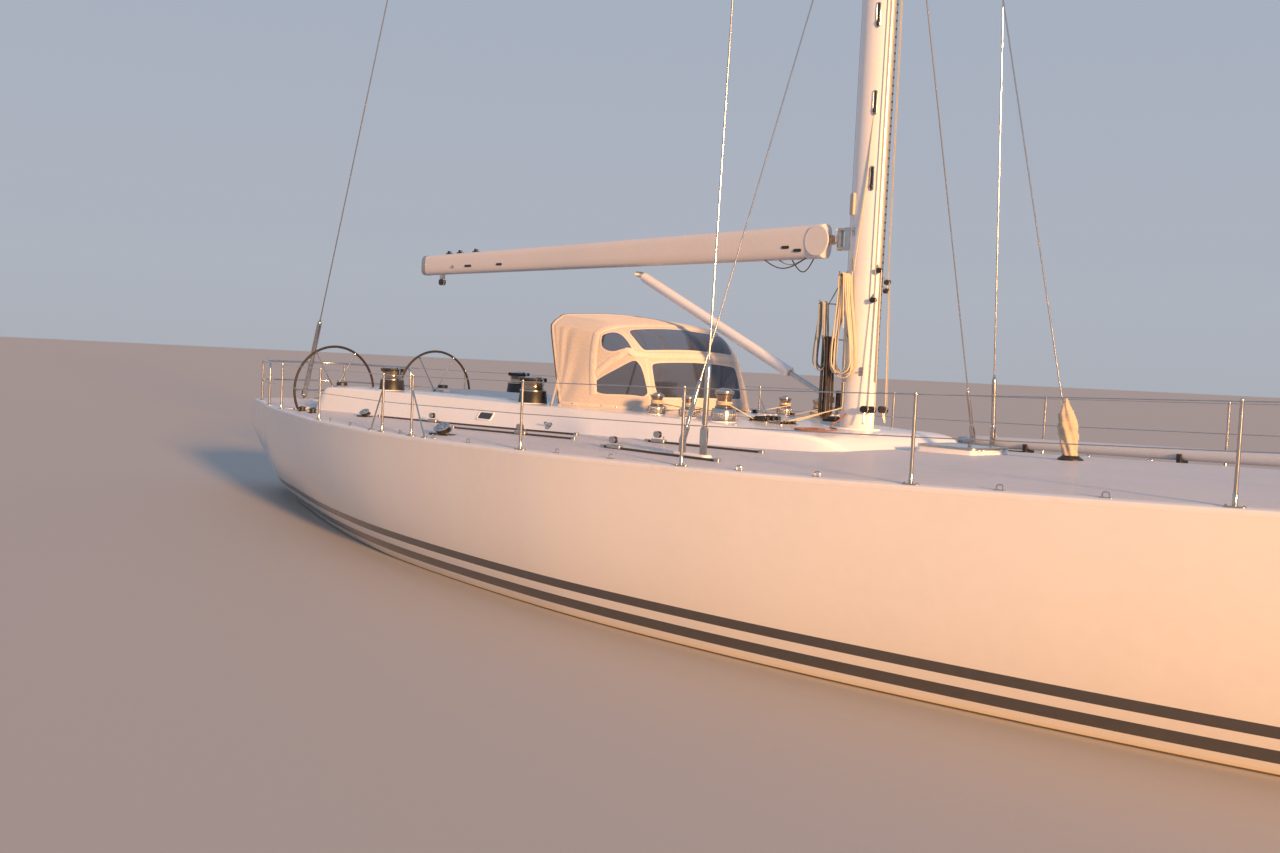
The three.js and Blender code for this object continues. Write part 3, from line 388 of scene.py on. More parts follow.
# Weathering: soft blotches of grime, finely broken up, that change colour, gloss and relief
WEATHER, entry, leave = group("weathering", {"Vector": None, "Colour": (0.8, 0.8, 0.8, 1.0),
    "Grime": (0.3, 0.25, 0.2, 1.0), "Amount": 0.2, "Scale": 1.0, "Roughness": 0.3, "Spread": 0.1},
    {"Colour": tuple, "Roughness": float, "Height": float})
broad = noise(WEATHER, entry["Vector"], entry["Scale"], 4.0)
fine_scale = maths(WEATHER, "MULTIPLY", entry["Scale"], 17.0)
fine = noise(WEATHER, entry["Vector"], fine_scale, 5.0)
both = maths(WEATHER, "MULTIPLY", spread(WEATHER, broad, 0.35, 0.75), spread(WEATHER, fine, 0.3, 0.7))
strength = maths(WEATHER, "MULTIPLY", both, entry["Amount"])
WEATHER.links.new(mixed(WEATHER, strength, entry["Colour"], entry["Grime"]), leave["Colour"])
centred = maths(WEATHER, "SUBTRACT", broad, 0.5)
swing = maths(WEATHER, "MULTIPLY", centred, entry["Spread"])
grimy = maths(WEATHER, "MULTIPLY", strength, 0.3)
rough = maths(WEATHER, "ADD", maths(WEATHER, "ADD", entry["Roughness"], swing), grimy)
WEATHER.links.new(rough, leave["Roughness"])
WEATHER.links.new(fine, leave["Height"])


def weathered(tree, shader, colour, grime, amount, scale, roughness, change=0.1):
    """Feeds a shader's colour and roughness from the weathering group."""
    sockets = {"Vector": own_place(tree), "Colour": colour, "Grime": rgb(grime), "Amount": amount,
        "Scale": scale, "Roughness": roughness, "Spread": change}
    node = put(tree, "ShaderNodeGroup", sockets, node_tree=WEATHER)
    tree.links.new(node.outputs["Colour"], shader.inputs["Base Color"])
    tree.links.new(node.outputs["Roughness"], shader.inputs["Roughness"])
    return node


def relief(tree, shader, height, distance):
    """Feeds a bump of a real depth into a shader's normal."""
    bump = put(tree, "ShaderNodeBump", {"Height": height, "Distance": distance})
    tree.links.new(bump.outputs["Normal"], shader.inputs["Normal"])


def plain_finish(name, colour, roughness, grime="5a5048", amount=0.2, scale=1.5, depth=0.0003, change=0.1,
        **sockets):
    """A weathered material of one colour, such as gelcoat, paint or metal."""
    made, tree, shader = new_material(name, **sockets)
    node = weathered(tree, shader, rgb(colour), grime, amount, scale, roughness, change)
    relief(tree, shader, node.outputs["Height"], depth)
    return made


TOPSIDES, tree, shader = new_material("topsides_gelcoat", Coat_Weight=0.6, Coat_Roughness=0.04)
place = own_place(tree)
height = put(tree, "ShaderNodeSeparateXYZ", {"Vector": place}).outputs["Z"]
low, high = BANDS[0][0], 0.5
ramp = put(tree, "ShaderNodeValToRGB", {"Fac": spread(tree, height, low, high)})
ramp.color_ramp.interpolation = "CONSTANT"
for index, (z, colour) in enumerate(BANDS):
    share = (z - low) / (high - low)
    stop = ramp.color_ramp.elements[0] if index == 0 else ramp.color_ramp.elements.new(share)
    stop.position = share
    stop.color = rgb(colour)
ramp.color_ramp.elements.remove(ramp.color_ramp.elements[len(BANDS)])
weathered(tree, shader, ramp.outputs["Color"], "a08a70", 0.07, 0.6, 0.2, 0.08)
relief(tree, shader, noise(tree, place, 0.9, 1), 0.006)

hull_mesh = bmesh.new()
skin(hull_mesh, [hull_ring(x) for x in steps(STATIONS[0][0], STATIONS[-1][0], HULL_SPACING)])
transom_trimmed(hull_mesh)
hull = finished("hull_shell", hull_mesh, [TOPSIDES])
carved(hull, [middle_box(aft, fore, half, floor) for aft, fore, half, floor in HULL_HOLLOWS])
settled(hull, "topsides", "hull")

# Deck
# A cambered sandwich moulding, bonded to the hull along a rounded edge. Its walked area has a
# fine non-skid pattern, and a smooth margin round it is left in plain gelcoat.

EDGE_RADIUS = 0.018
DECK_STEPS = 26
FORE_HATCH = Sizes(x=1.12, half=0.3, rise=0.045, lid=0.022)
AFT_HATCH = Sizes(x=-10.15, half=0.26, rise=0.03, lid=0.025)
HATCH_RIM = 0.04
CABIN_TOP = Sizes(aft=-3.3, fore=-0.6, half=1, ceiling=1.7)
MARGIN = 0.085


def deck_ring(x):
    half = half_beam(x)
    radius = min(EDGE_RADIUS, half * 0.5)
    edge = along(STATIONS, 2, x)
    reach = half - radius
    ring = []
    for step in range(DECK_STEPS + 1):
        y = reach * (2 * step / DECK_STEPS - 1)
        ring.append((x, y, deck_z(x, y)))
    drop = edge - deck_z(x, reach)
    rounded = []
    for angle in (30, 60, 90):
        a = radians(angle)
        rounded.append((reach + radius * sin(a), edge - drop * (1 - sin(a)) - radius * (1 - cos(a))))
    ring += [(x, y, z) for y, z in rounded]
    ring += [(x, half * f, deck_z(x, half * f) - DECK_THICK) for f in (1, 0.5, 0, -0.5, -1)]
    ring += [(x, -y, z) for y, z in reversed(rounded)]
    return ring


def hatch_hole(hatch):
    clear = hatch.half - HATCH_RIM + 0.01
    return middle_box(hatch.x - clear, hatch.x + clear, clear, 0)


def inner_spaces(room=0):
    """Cutters for the cockpit, its wide part at the wheels, the doorway and the cabin."""
    return [middle_box(COCKPIT.aft - room, COCKPIT.fore + room, COCKPIT.half + room, COCKPIT.sole),
        middle_box(HELM.aft - room, HELM.fore + room, HELM.half + room, COCKPIT.sole),
        middle_box(COCKPIT.fore - 0.01, COMPANIONWAY.fore, COMPANIONWAY.half, COMPANIONWAY.sill),
        middle_box(CABIN_TOP.aft, CABIN_TOP.fore, CABIN_TOP.half, 0, CABIN_TOP.ceiling)]


# Non-skid: small round-topped studs in staggered rows, cast in the gelcoat
NON_SKID, entry, leave = group("non_skid", {"Vector": None, "Pitch": 0.006}, {"Height": float})
scaled = put(NON_SKID, "ShaderNodeVectorMath", {0: entry["Vector"]}, operation="SCALE")
NON_SKID.links.new(maths(NON_SKID, "DIVIDE", 1.0, entry["Pitch"]), scaled.inputs["Scale"])
studs = put(NON_SKID, "ShaderNodeTexVoronoi", {"Vector": scaled.outputs[0], "Scale": 1.0, "Randomness": 0.35})
NON_SKID.links.new(spread(NON_SKID, studs.outputs["Distance"], 0.2, 0.5, 1.0, 0.0), leave["Height"])


def non_skid(tree, vector):
    return put(tree, "ShaderNodeGroup", {"Vector": vector}, node_tree=NON_SKID).outputs["Height"]


DECK_GELCOAT, tree, shader = new_material("deck_non_skid", Coat_Weight=0.1, Coat_Roughness=0.2)
place = own_place(tree)
edge = put(tree, "ShaderNodeAttribute", attribute_name="edge_distance").outputs["Fac"]
walked = spread(tree, edge, MARGIN - 0.002, MARGIN + 0.002)
colour = mixed(tree, walked, rgb("e9e5e3"), rgb("d6d1d0"))
rough = spread(tree, walked, 0, 1, 0.32, 0.62)
weathered(tree, shader, colour, "8f8072", 0.22, 0.8, rough, 0.12)
studs = maths(tree, "MULTIPLY", non_skid(tree, place), walked)
relief(tree, shader, studs, 0.0006)

deck_mesh = bmesh.new()
skin(deck_mesh, [deck_ring(x) for x in steps(STATIONS[0][0], STATIONS[-1][0], HULL_SPACING)])
transom_trimmed(deck_mesh)
deck = finished("deck_moulding", deck_mesh, [DECK_GELCOAT])
carved(deck, [*inner_spaces(0.002), hatch_hole(FORE_HATCH), hatch_hole(AFT_HATCH)])
distance = deck.data.attributes.new("edge_distance", "FLOAT", "POINT")
for vertex, item in zip(deck.data.vertices, distance.data):
    item.value = half_beam(vertex.co.x) - abs(vertex.co.y)
settled(deck, "deck", "deck")

# Cockpit and coachroof
# White gelcoat mouldings. The low roof runs aft on both sides of the cockpit as its coamings, and
# the cockpit is a tub with a non-skid sole that hangs under the deck.

ROOF = (
    # x, half width at the deck, half width at the top, top edge height, crown
    (-8.33, 1.33, 1.24, 1.65, 0.018),
    (-8.25, 1.338, 1.248, 1.73, 0.024),
    (-8.15, 1.345, 1.255, 1.78, 0.03),
    (-6.6, 1.4, 1.24, 1.8, 0.036),
    (-3.6, 1.44, 1.25, 1.8, 0.036),
    (-2.3, 1.415, 1.225, 1.8, 0.036),
    (-1.4, 1.4, 1.21, 1.8, 0.036),
    (-0.3, 1.33, 1.15, 1.762, 0.032),
    (0.33, 1.22, 1.02, 1.732, 0.028),
    (0.58, 1.05, 0.85, 1.6, 0.02),
)
ROOF_EDGE = 0.035
ROOF_SUNK = 0.019
ROOF_SPACING = 0.06
MAST = Sizes(x=-0.08, long=0.38, wide=0.22, foot=1.7, head=31, taper_from=21, taper=0.62)


def roof_ring(x):
    low, high, edge, crown = (along(ROOF, index, x) for index in (1, 2, 3, 4))
    bottom = deck_z(x, low) - ROOF_SUNK
    foot, head = (low, bottom), (high + 0.35 * ROOF_EDGE, edge - ROOF_EDGE)
    half = [foot, (foot[0] * 0.5 + head[0] * 0.5, foot[1] * 0.5 + head[1] * 0.5), head]
    for angle in (22.5, 45, 67.5, 90):
        a = radians(angle)
        half.append((high - 0.65 * ROOF_EDGE + ROOF_EDGE * cos(a), edge - ROOF_EDGE * (1 - sin(a))))
    flat = half[-1][0]
    for fraction in (0.92, 0.8, 0.65, 0.5, 0.35, 0.2, 0.1):
        half.append((flat * fraction, edge + crown * (1 - fraction ** 2)))
    port = [(x, y, z) for y, z in half]
    starboard = [(x, -y, z) for y, z in reversed(half)]
    return [(x, 0, bottom), *port, (x, 0, edge + crown), *starboard]


MOULDING = plain_finish("moulding_gelcoat", "efedec", 0.28, "a89a88", 0.15, 0.9, 0.0001, Coat_Weight=0.4,
    Coat_Roughness=0.08)
TUB_GELCOAT, tree, shader = new_material("cockpit_gelcoat", Coat_Weight=0.3, Coat_Roughness=0.1)
place = own_place(tree)
height = put(tree, "ShaderNodeSeparateXYZ", {"Vector": place}).outputs["Z"]
walked = spread(tree, height, COCKPIT.sole + 0.001, COCKPIT.sole + 0.002, 1, 0)
colour = mixed(tree, walked, rgb("ebe8e4"), rgb("bdb8b4"))
weathered(tree, shader, colour, "8f8072", 0.2, 1.2, spread(tree, walked, 0, 1, 0.3, 0.65))
relief(tree, shader, maths(tree, "MULTIPLY", non_skid(tree, place), walked), 0.0006)

roof_mesh = bmesh.new()
skin(roof_mesh, [roof_ring(x) for x in steps(ROOF[0][0], ROOF[-1][0], ROOF_SPACING)])
roof = finished("coachroof_moulding", roof_mesh, [MOULDING])
carved(roof, inner_spaces())
settled(roof, "moulding", "coachroof")
dressed("cockpit_tub", TUB_GELCOAT)

# Keel, rudder and propeller
# A cast fin with its lead ballast bolted under it, a spade rudder on a round stock, and a bronze
# propeller on a shaft that a strut carries. All but the bronze has the bottom's dark paint.

KEEL = (
    # height, leading edge, chord, thickness
    (-3.9, 0.62, 2.1, 0.13),
    (-3.7, 0.74, 2.3, 0.15),
    (-3, 0.96, 2.6, 0.13),
    (-2.3, 1.13, 2.83, 0.11),
    (-1, 1.45, 3.3, 0.1),
    (-0.5, 1.5, 3.4, 0.1),
)
BALLAST_TOP = -2.3
RUDDER_STOCK = Sizes(x=-9.75, radius=0.0557, bore=0.0563, top=0.25)
RUDDER_BLADE = (
    # height, leading edge, chord, thickness
    (-2.9, -9.69, 0.48, 0.06),
    (-2.84, -9.62, 0.62, 0.1),
    (-1.6, -9.55, 0.9, 0.12),
    (-0.27, -9.52, 1.06, 0.13),
)
SHAFT = Sizes(x=-4.5, z=-0.895, tilt=radians(10), radius=0.022)
STILL = Matrix.Identity(4)
ALONG_Y = spun(pi / 2, 4, "X")
ALONG_X = spun(pi / 2, 4, "Y")


def foil_ring(z, lead, chord, thickness, count=14):
    half = []
    for i in range(count + 1):
        t = 0.5 - 0.5 * cos(pi * i / count)
        y = 0.2969 * t ** 0.5 - 0.126 * t - 0.3516 * t ** 2 + 0.2843 * t ** 3 - 0.1036 * t ** 4
        half.append((lead - chord * t, 5 * thickness * chord * y))
    port = [(x, y, z) for x, y in half]
    return port + [(x, -y, z) for x, y in reversed(half[1:-1])]


def foil(mesh, table, low, high, spacing=0.1):
    rows = [[z, *(along(table, index, z) for index in (1, 2, 3))] for z in steps(low, high, spacing)]
    skin(mesh, [foil_ring(*row) for row in rows])


def tube(mesh, points, radius, sides=12, looped=False, slot=0):
    """A round bar along points, mitred where it bends; a list of radii gives a taper."""
    stops = [Vector(point) for point in points]
    radii = radius if isinstance(radius, (list, tuple)) else [radius] * len(stops)
    nexts = stops[1:] + (stops[:1] if looped else [])
    ways = [(b - a).normalized() for a, b in zip(stops, nexts)]
    across = (UP if abs(ways[0].z) < 0.9 else Vector((1, 0, 0))).cross(ways[0])
    rings = []
    for i, stop in enumerate(stops):
        before = ways[i - 1] if i or looped else ways[0]
        after = ways[min(i, len(ways) - 1)]
        way = (before + after).normalized()
        across = (across - way * across.dot(way)).normalized()
        over = way.cross(across)
        rings.append([stop + (across * cos(a) + over * sin(a)) * radii[i] for a in angles(sides)])
    skin(mesh, rings, looped, slot)


def bored(obj, start, end, radius, sides=24):
    """Cuts a round hole from one point to another."""
    bore = bmesh.new()
    tube(bore, [start, end], radius, sides)
    carved(obj, [bore])


def turned(mesh, profile, place=STILL, sides=32, slot=0):
    """A round piece about its frame's Z axis, from rows of radius and height."""
    rings = []
    for radius, height in profile:
        r = max(radius, 0.0004)
        rings.append([place @ Vector((r * cos(a), r * sin(a), height)) for a in angles(sides)])
    skin(mesh, rings, slot=slot)


def aimed(start, toward):
    """A frame at a point whose Z axis looks at another point."""
    way = Vector(toward) - Vector(start)
    return at(start) @ way.to_track_quat("Z", "Y").to_matrix().to_4x4()


def shaft_point(distance):
    return Vector((SHAFT.x - distance * cos(SHAFT.tilt), 0, SHAFT.z - distance * sin(SHAFT.tilt)))


BOTTOM_PAINT = plain_finish("bottom_paint", "262b33", 0.62, "4a4c48", 0.5, 1.6, 0.0012)
BRONZE = plain_finish("propeller_bronze", "a5743e", 0.3, "3f4a35", 0.55, 9, 0.0006, Metallic=1)

bored(hull, (RUDDER_STOCK.x, 0, -0.9), (RUDDER_STOCK.x, 0, 0.26), RUDDER_STOCK.bore, 32)

for name, slot, low, high in (("keel_ballast", "lead", KEEL[0][0], BALLAST_TOP),
        ("keel_fin", "foil", BALLAST_TOP + GAP, KEEL[-1][0])):
    mesh = bmesh.new()
    foil(mesh, KEEL, low, high)
    fitted(name + "_cast", mesh, [BOTTOM_PAINT], slot, name)

mesh = bmesh.new()
foil(mesh, RUDDER_BLADE, RUDDER_BLADE[0][0], RUDDER_BLADE[-1][0], 0.06)
tube(mesh, [(RUDDER_STOCK.x, 0, -0.6), (RUDDER_STOCK.x, 0, RUDDER_STOCK.top)], RUDDER_STOCK.radius, 32)
fitted("rudder_blade", mesh, [BOTTOM_PAINT], "foil", "rudder", body="rudder")

PROPELLER_BLADE = (
    # radius, half chord, thickness, pitch angle
    (0.03, 0.05, 0.036, 64),
    (0.075, 0.068, 0.03, 57),
    (0.12, 0.083, 0.025, 50),
    (0.165, 0.094, 0.02, 44),
    (0.21, 0.098, 0.016, 38),
    (0.25, 0.088, 0.012, 33),
    (0.28, 0.066, 0.009, 30),
    (0.298, 0.03, 0.006, 28),
)


def propeller_blade(mesh, turn):
    place = at(shaft_point(1.48)) @ spun(-SHAFT.tilt, 4, "Y") @ spun(turn, 4, "X")
    rings = []
    for radius, chord, thick, pitch in PROPELLER_BLADE:
        twist = spun(radians(pitch), 4, "Z")
        rings.append([place @ twist @ Vector((chord * cos(a), thick / 2 * sin(a), radius))
            for a in angles(16)])
    skin(mesh, rings)


mesh = bmesh.new()
tube(mesh, [shaft_point(0.241), shaft_point(1.42)], SHAFT.radius, 24)
turned(mesh, [(0.04, 0), (0.058, 0.012), (0.058, 0.1), (0.052, 0.135), (0.036, 0.157), (0, 0.16)],
    aimed(shaft_point(1.403), shaft_point(2)))
for turn in (0, 120, 240):
    propeller_blade(mesh, radians(turn))
fitted("propeller_cast", mesh, [BRONZE], "bronze", "propeller", body="propeller")

dressed("shaft_strut", BRONZE)

# Mast, spreaders and masthead
# A white painted aluminium tube with a luff track up its after face and a pole track up its fore
# face. It has a collar at the deck, three pairs of straight spreaders and a crane at its head.

SPREADERS = (
    # name, height, tip half width
    ("spreaders_lower", 8.55, 1.95),
    ("spreaders_middle", 15.7, 1.56),
    ("spreaders_upper", 22.9, 1.08),
)
SPREADER = Sizes(root=0.16, tip=0.09, thick=0.055)
MAST_SIDES = 40
# Sections of the two tracks, from the mast's face
LUFF_TRACK = ((0.006, -0.017), (0.006, 0.017), (-0.01, 0.017), (-0.014, 0.012), (-0.014, -0.012),
    (-0.01, -0.017))
POLE_TRACK = ((-0.004, -0.02), (0.01, -0.02), (0.012, -0.014), (0.012, 0.014), (0.01, 0.02), (-0.004, 0.02))


def mast_scale(z):
    over = max(z - MAST.taper_from, 0) / (MAST.head - MAST.taper_from)
    return 1 + (MAST.taper - 1) * over


def mast_ring(z):
    scale = mast_scale(z) / 2
    return [(MAST.x + MAST.long * scale * cos(a), MAST.wide * scale * sin(a), z) for a in angles(MAST_SIDES)]


def mast_face(z, side):
    """The middle of the mast's fore (1) or after (-1) face."""
    return MAST.x + side * MAST.long * mast_scale(z) / 2


SPAR = plain_finish("spar_paint", "efedec", 0.3, "8b7c6c", 0.12, 1.4, 0.0003, Coat_Weight=0.3,
    Coat_Roughness=0.1)
ALLOY = plain_finish("bare_alloy", "c4c3c1", 0.38, "5e5a55", 0.35, 12, 0.0003, Metallic=1)
STEEL = plain_finish("polished_steel", "cfc9c2", 0.16, "6b5138", 0.45, 14, 0.0002, Metallic=1)
# Black plastic parts. The same finish is also painted shade in the openings of slots and holes that are not
# cut.
BLACK_PLASTIC_AND_HOLE_SHADE = plain_finish("black_plastic", "1d1d1f", 0.42, "6a655e", 0.3, 10, 0.0004)

mesh = bmesh.new()
skin(mesh, [mast_ring(z) for z in (MAST.foot, MAST.taper_from, 23.5, 26, 28.5, MAST.head)])
for ends in ((2.25, MAST.taper_from), (MAST.taper_from, 30.6)):
    skin(mesh, [[(mast_face(z, -1) + x, y, z) for x, y in LUFF_TRACK] for z in ends], slot=1)
fitted("mast_tube", mesh, [SPAR, ALLOY], "spar", "mast")

mesh = bmesh.new()
base = deck_z(MAST.x, 0)
turned(mesh, [(0.3, base - 0.028), (0.31, base + 0.004), (0.309, base + 0.03), (0.298, base + 0.048),
    (0.268, base + 0.068), (0.246, base + 0.1), (0.236, base + 0.15), (0.226, base + 0.168),
    (0.205, base + 0.17)], at((MAST.x, 0, 0)), 48)
fitted("mast_collar_moulding", mesh, [MOULDING], "moulding", "mast_collar")


def spreader_ring(y, root, tip, reach):
    """A streamlined section across the mast, at a distance to one side."""
    share = abs(y) / reach
    chord = root + (tip - root) * share
    thick = SPREADER.thick * (1 - 0.25 * share)
    return [(MAST.x + chord / 2 * cos(a), thick / 2 * sin(a)) for a in angles(20)]


for name, z, reach in SPREADERS:
    mesh = bmesh.new()
    rings = []
    for y in steps(-reach, reach, 0.25):
        section = spreader_ring(y, SPREADER.root, SPREADER.tip, reach)
        rings.append([(x, y, z + lift) for x, lift in section])
    skin(mesh, rings)
    for side in (-1, 1):
        turned(mesh, [(0.01, -0.045), (0.024, -0.035), (0.03, 0), (0.024, 0.035), (0.01, 0.045)],
            at((MAST.x, side * (reach - 0.002), z)), 20, slot=1)
    fitted(name + "_blade", mesh, [SPAR, STEEL], "spar", name)


def fittings_tree(name, extra):
    """A Geometry Nodes tree with the inputs that every row of fittings has."""
    tree = bpy.data.node_groups.new(name, "GeometryNodeTree")
    for socket, kind in (("Geometry", "Geometry"), ("Fitting", "Object"), ("Finish", "Material"), *extra):
        tree.interface.new_socket(socket, in_out="INPUT", socket_type="NodeSocket" + kind)
    tree.interface.new_socket("Geometry", in_out="OUTPUT", socket_type="NodeSocketGeometry")
    entry = tree.nodes.new("NodeGroupInput").outputs
    fitting = put(tree, "GeometryNodeObjectInfo", {"Object": entry["Fitting"]}).outputs["Geometry"]
    return tree, entry, fitting


def end_tree(tree, entry, fitting, points, rotation):
    """Sets the fitting on each point, then makes it real and gives it its material."""
    placed = put(tree, "GeometryNodeInstanceOnPoints", {"Points": points, "Instance": fitting,
        "Rotation": rotation})
    real = put(tree, "GeometryNodeRealizeInstances", {"Geometry": placed.outputs["Instances"]})
    covered = put(tree, "GeometryNodeSetMaterial", {"Geometry": real.outputs["Geometry"],
        "Material": entry["Finish"]})
    leave = tree.nodes.new("NodeGroupOutput")
    tree.links.new(covered.outputs["Geometry"], leave.inputs["Geometry"])
    return tree


def named_vector(tree, name):
    node = put(tree, "GeometryNodeInputNamedAttribute", data_type="FLOAT_VECTOR")
    node.inputs["Name"].default_value = name
    return node.outputs["Attribute"]


def make_path_tree():
    """Fittings at an even spacing along edges, upright on the vector "up"."""
    tree, entry, fitting = fittings_tree("fittings_along_path", [("Spacing", "Float")])
    path = put(tree, "GeometryNodeMeshToCurve", {"Mesh": entry["Geometry"]}).outputs["Curve"]
    sockets = {"Curve": path, "Length": entry["Spacing"]}
    spaced = put(tree, "GeometryNodeResampleCurve", sockets, mode="LENGTH").outputs["Curve"]
    upright = put(tree, "FunctionNodeAlignRotationToVector", {"Vector": named_vector(tree, "up")}, axis="Z")
    forward = tree.nodes.new("GeometryNodeInputTangent").outputs["Tangent"]
    turned_to = put(tree, "FunctionNodeAlignRotationToVector", {"Rotation": upright.outputs["Rotation"],
        "Vector": forward}, axis="X", pivot_axis="Z")
    return end_tree(tree, entry, fitting, spaced, turned_to.outputs["Rotation"])


def make_spots_tree():
    """Fittings on single points, each turned by the angles in the vector "turn"."""
    tree, entry, fitting = fittings_tree("fittings_on_spots", [])
    return end_tree(tree, entry, fitting, entry["Geometry"], named_vector(tree, "turn"))


PATH_TREE = make_path_tree()
SPOTS_TREE = make_spots_tree()


def grown(name, tree, fitting, points, edges, attribute, vectors, finish, slot, *replaced, spacing=None):
    """Runs a tree of fittings and settles its result as a plain object."""
    tool = finished("fitting", fitting, [])
    data = bpy.data.meshes.new(name)
    data.from_pydata(points, edges, [])
    values = data.attributes.new(attribute, "FLOAT_VECTOR", "POINT")
    for item, vector in zip(values.data, vectors):
        item.vector = vector
    obj = linked_object(name, data)
    modifier = obj.modifiers.new("fittings", "NODES")
    modifier.node_group = tree
    settings = {"Fitting": tool, "Finish": finish, "Spacing": spacing}
    for item in tree.interface.items_tree:
        if item.in_out == "INPUT" and item.name in settings:
            modifier[item.identifier] = settings[item.name]
    applied(obj)
    bpy.data.objects.remove(tool)
    return settled(obj, slot, *replaced)


def row_along(name, fitting, paths, spacing, finish, slot="steel"):
    """A fitting at an even spacing along paths of points and upward vectors."""
    points, edges, ups = [], [], []
    for path in paths:
        start = len(points)
        points += [point for point, _ in path]
        ups += [up for _, up in path]
        edges += [(start + k, start + k + 1) for k in range(len(path) - 1)]
    return grown(name, PATH_TREE, fitting, points, edges, "up", ups, finish, slot, spacing=spacing)


def set_on(name, fitting, spots, finish, *replaced):
    """A fitting on spots, each a point and its turn about X, Y and Z."""
    points, turns = zip(*spots)
    grown(name, SPOTS_TREE, fitting, points, [], "turn", turns, finish, "steel", *replaced)


# The luff track's screws, and the pole track up the fore face with its row of locking studs
SCREW_SPACING = 0.1
BEAD_SPACING = 0.075
screw = bmesh.new()
turned(screw, [(0.0055, -0.001), (0.0055, 0.0012), (0.003, 0.0024)], sides=8)
lengthwise = [((mast_face(z, -1) - 0.014, 0, z), (-1, 0, 0)) for z in (2.3, MAST.taper_from, 30.5)]
row_along("luff_track_screws", screw, [lengthwise], SCREW_SPACING, STEEL)

mesh = bmesh.new()
ends = (2.25, 11)
skin(mesh, [[(mast_face(z, 1) + x, y, z) for x, y in POLE_TRACK] for z in ends])
fitted("pole_track", mesh, [ALLOY], "alloy")
bead = bmesh.new()
turned(bead, [(0.01, -0.001), (0.01, 0.004), (0.006, 0.008)], sides=10)
lengthwise = [((mast_face(z, 1) + 0.012, 0, z), (1, 0, 0)) for z in ends]
row_along("pole_track_studs", bead, [lengthwise], BEAD_SPACING, BLACK_PLASTIC_AND_HOLE_SHADE)

# Standing rigging
# Stainless rods that end in toggles, pins and turnbuckles. Steel lugs under white covers take
# the shrouds at the deck, and low steel fittings take the stays on the centreline.

CHAINPLATE = Sizes(cap_x=0.05, lower_x=-0.2, y=2.23, lug=0.15)
CAP_ROD = 0.009
LOWER_ROD = 0.007
STEM = (11.1, 0, deck_z(11.1, 0))
STERN_PLATE = (-11.18, 0, deck_z(-11.18, 0))
BABY_PAD = (2.16, 0, deck_z(2.16, 0))
SIDES = (("starboard", -1), ("port", 1))


def rounded(long, wide, radius, count=5):
    """The outline of a rectangle with round corners, about its middle."""
    outline = []
    for corner, (sx, sy) in enumerate(((1, 1), (-1, 1), (-1, -1), (1, -1))):
        for k in range(count + 1):
            a = pi / 2 * (corner + k / count)
            outline.append((sx * (long / 2 - radius) + radius * cos(a),
                sy * (wide / 2 - radius) + radius * sin(a)))
    return outline


def inset(outline, amount):
    """An outline moved inwards by an even amount."""
    moved = []
    for i, here in enumerate(outline):
        before, after = outline[i - 1], outline[(i + 1) % len(outline)]
        a = Vector((here[0] - before[0], here[1] - before[1])).normalized()
        b = Vector((after[0] - here[0], after[1] - here[1])).normalized()
        normal = Vector((-a.y - b.y, a.x + b.x)) / max(1 + a.dot(b), 0.3)
        moved.append((here[0] + normal.x * amount, here[1] + normal.y * amount))
    return moved


def slab(mesh, outline, low, high, edge=0.002, place=STILL, slot=0):
    """A plate with softened edges, between two heights of its own frame."""
    rings = []
    for z, amount in ((low, edge), (low + edge, 0), (high - edge, 0), (high, edge)):
        rings.append([place @ Vector((x, y, z)) for x, y in inset(outline, amount)])
    skin(mesh, rings, slot=slot)


def on_edge(point):
    """A frame for a plate that stands fore and aft: its outline lies in X and Z."""
    return at(point) @ ALONG_Y


def toward(start, end, distance):
    way = Vector(end) - Vector(start)
    return Vector(start) + way.normalized() * distance


def turnbuckle(mesh, foot, head, radius, length):
    """A forked toggle on its pin, a closed screw body, and the lock nut where the rod leaves."""
    place = aimed(foot, head)
    for side in (-1, 1):
        cheek = place @ at((0, side * 0.016, 0.048)) @ ALONG_Y
        slab(mesh, rounded(radius * 2.5, 0.165, radius * 1.2), -0.005, 0.005, 0.0015, cheek)
    pin = place @ ALONG_Y
    head = radius * 0.7
    turned(mesh, [(head * 0.7, -0.03), (head, -0.028), (head, -0.022), (0.008, -0.021), (0.008, 0.022),
        (head, 0.023), (head, 0.03), (head * 0.7, 0.032)], pin, 20)
    turned(mesh, [(radius * 0.9, 0.098), (radius, 0.106), (radius, 0.124), (radius * 0.6, 0.132),
        (radius * 0.5, 0.15)], place, 20)
    turned(mesh, [(radius * 0.6, 0.14), (radius * 0.92, 0.146), (radius, 0.158), (radius, length - 0.05),
        (radius * 0.93, length - 0.025), (radius * 0.7, length - 0.006), (radius * 0.45, length)], place, 24)
    turned(mesh, [(radius * 0.5, length - 0.004), (radius * 0.5, length + 0.018), (0.006, length + 0.05)],
        place, 6)


def shroud(name, points, rod, body, length):
    """A rod along its route with its turnbuckle at the foot."""
    mesh = bmesh.new()
    tube(mesh, [toward(points[0], points[1], length)] + points[1:], rod, 12)
    turnbuckle(mesh, points[0], points[1], body, length)
    fitted(name + "_rod", mesh, [STEEL], "steel", name)


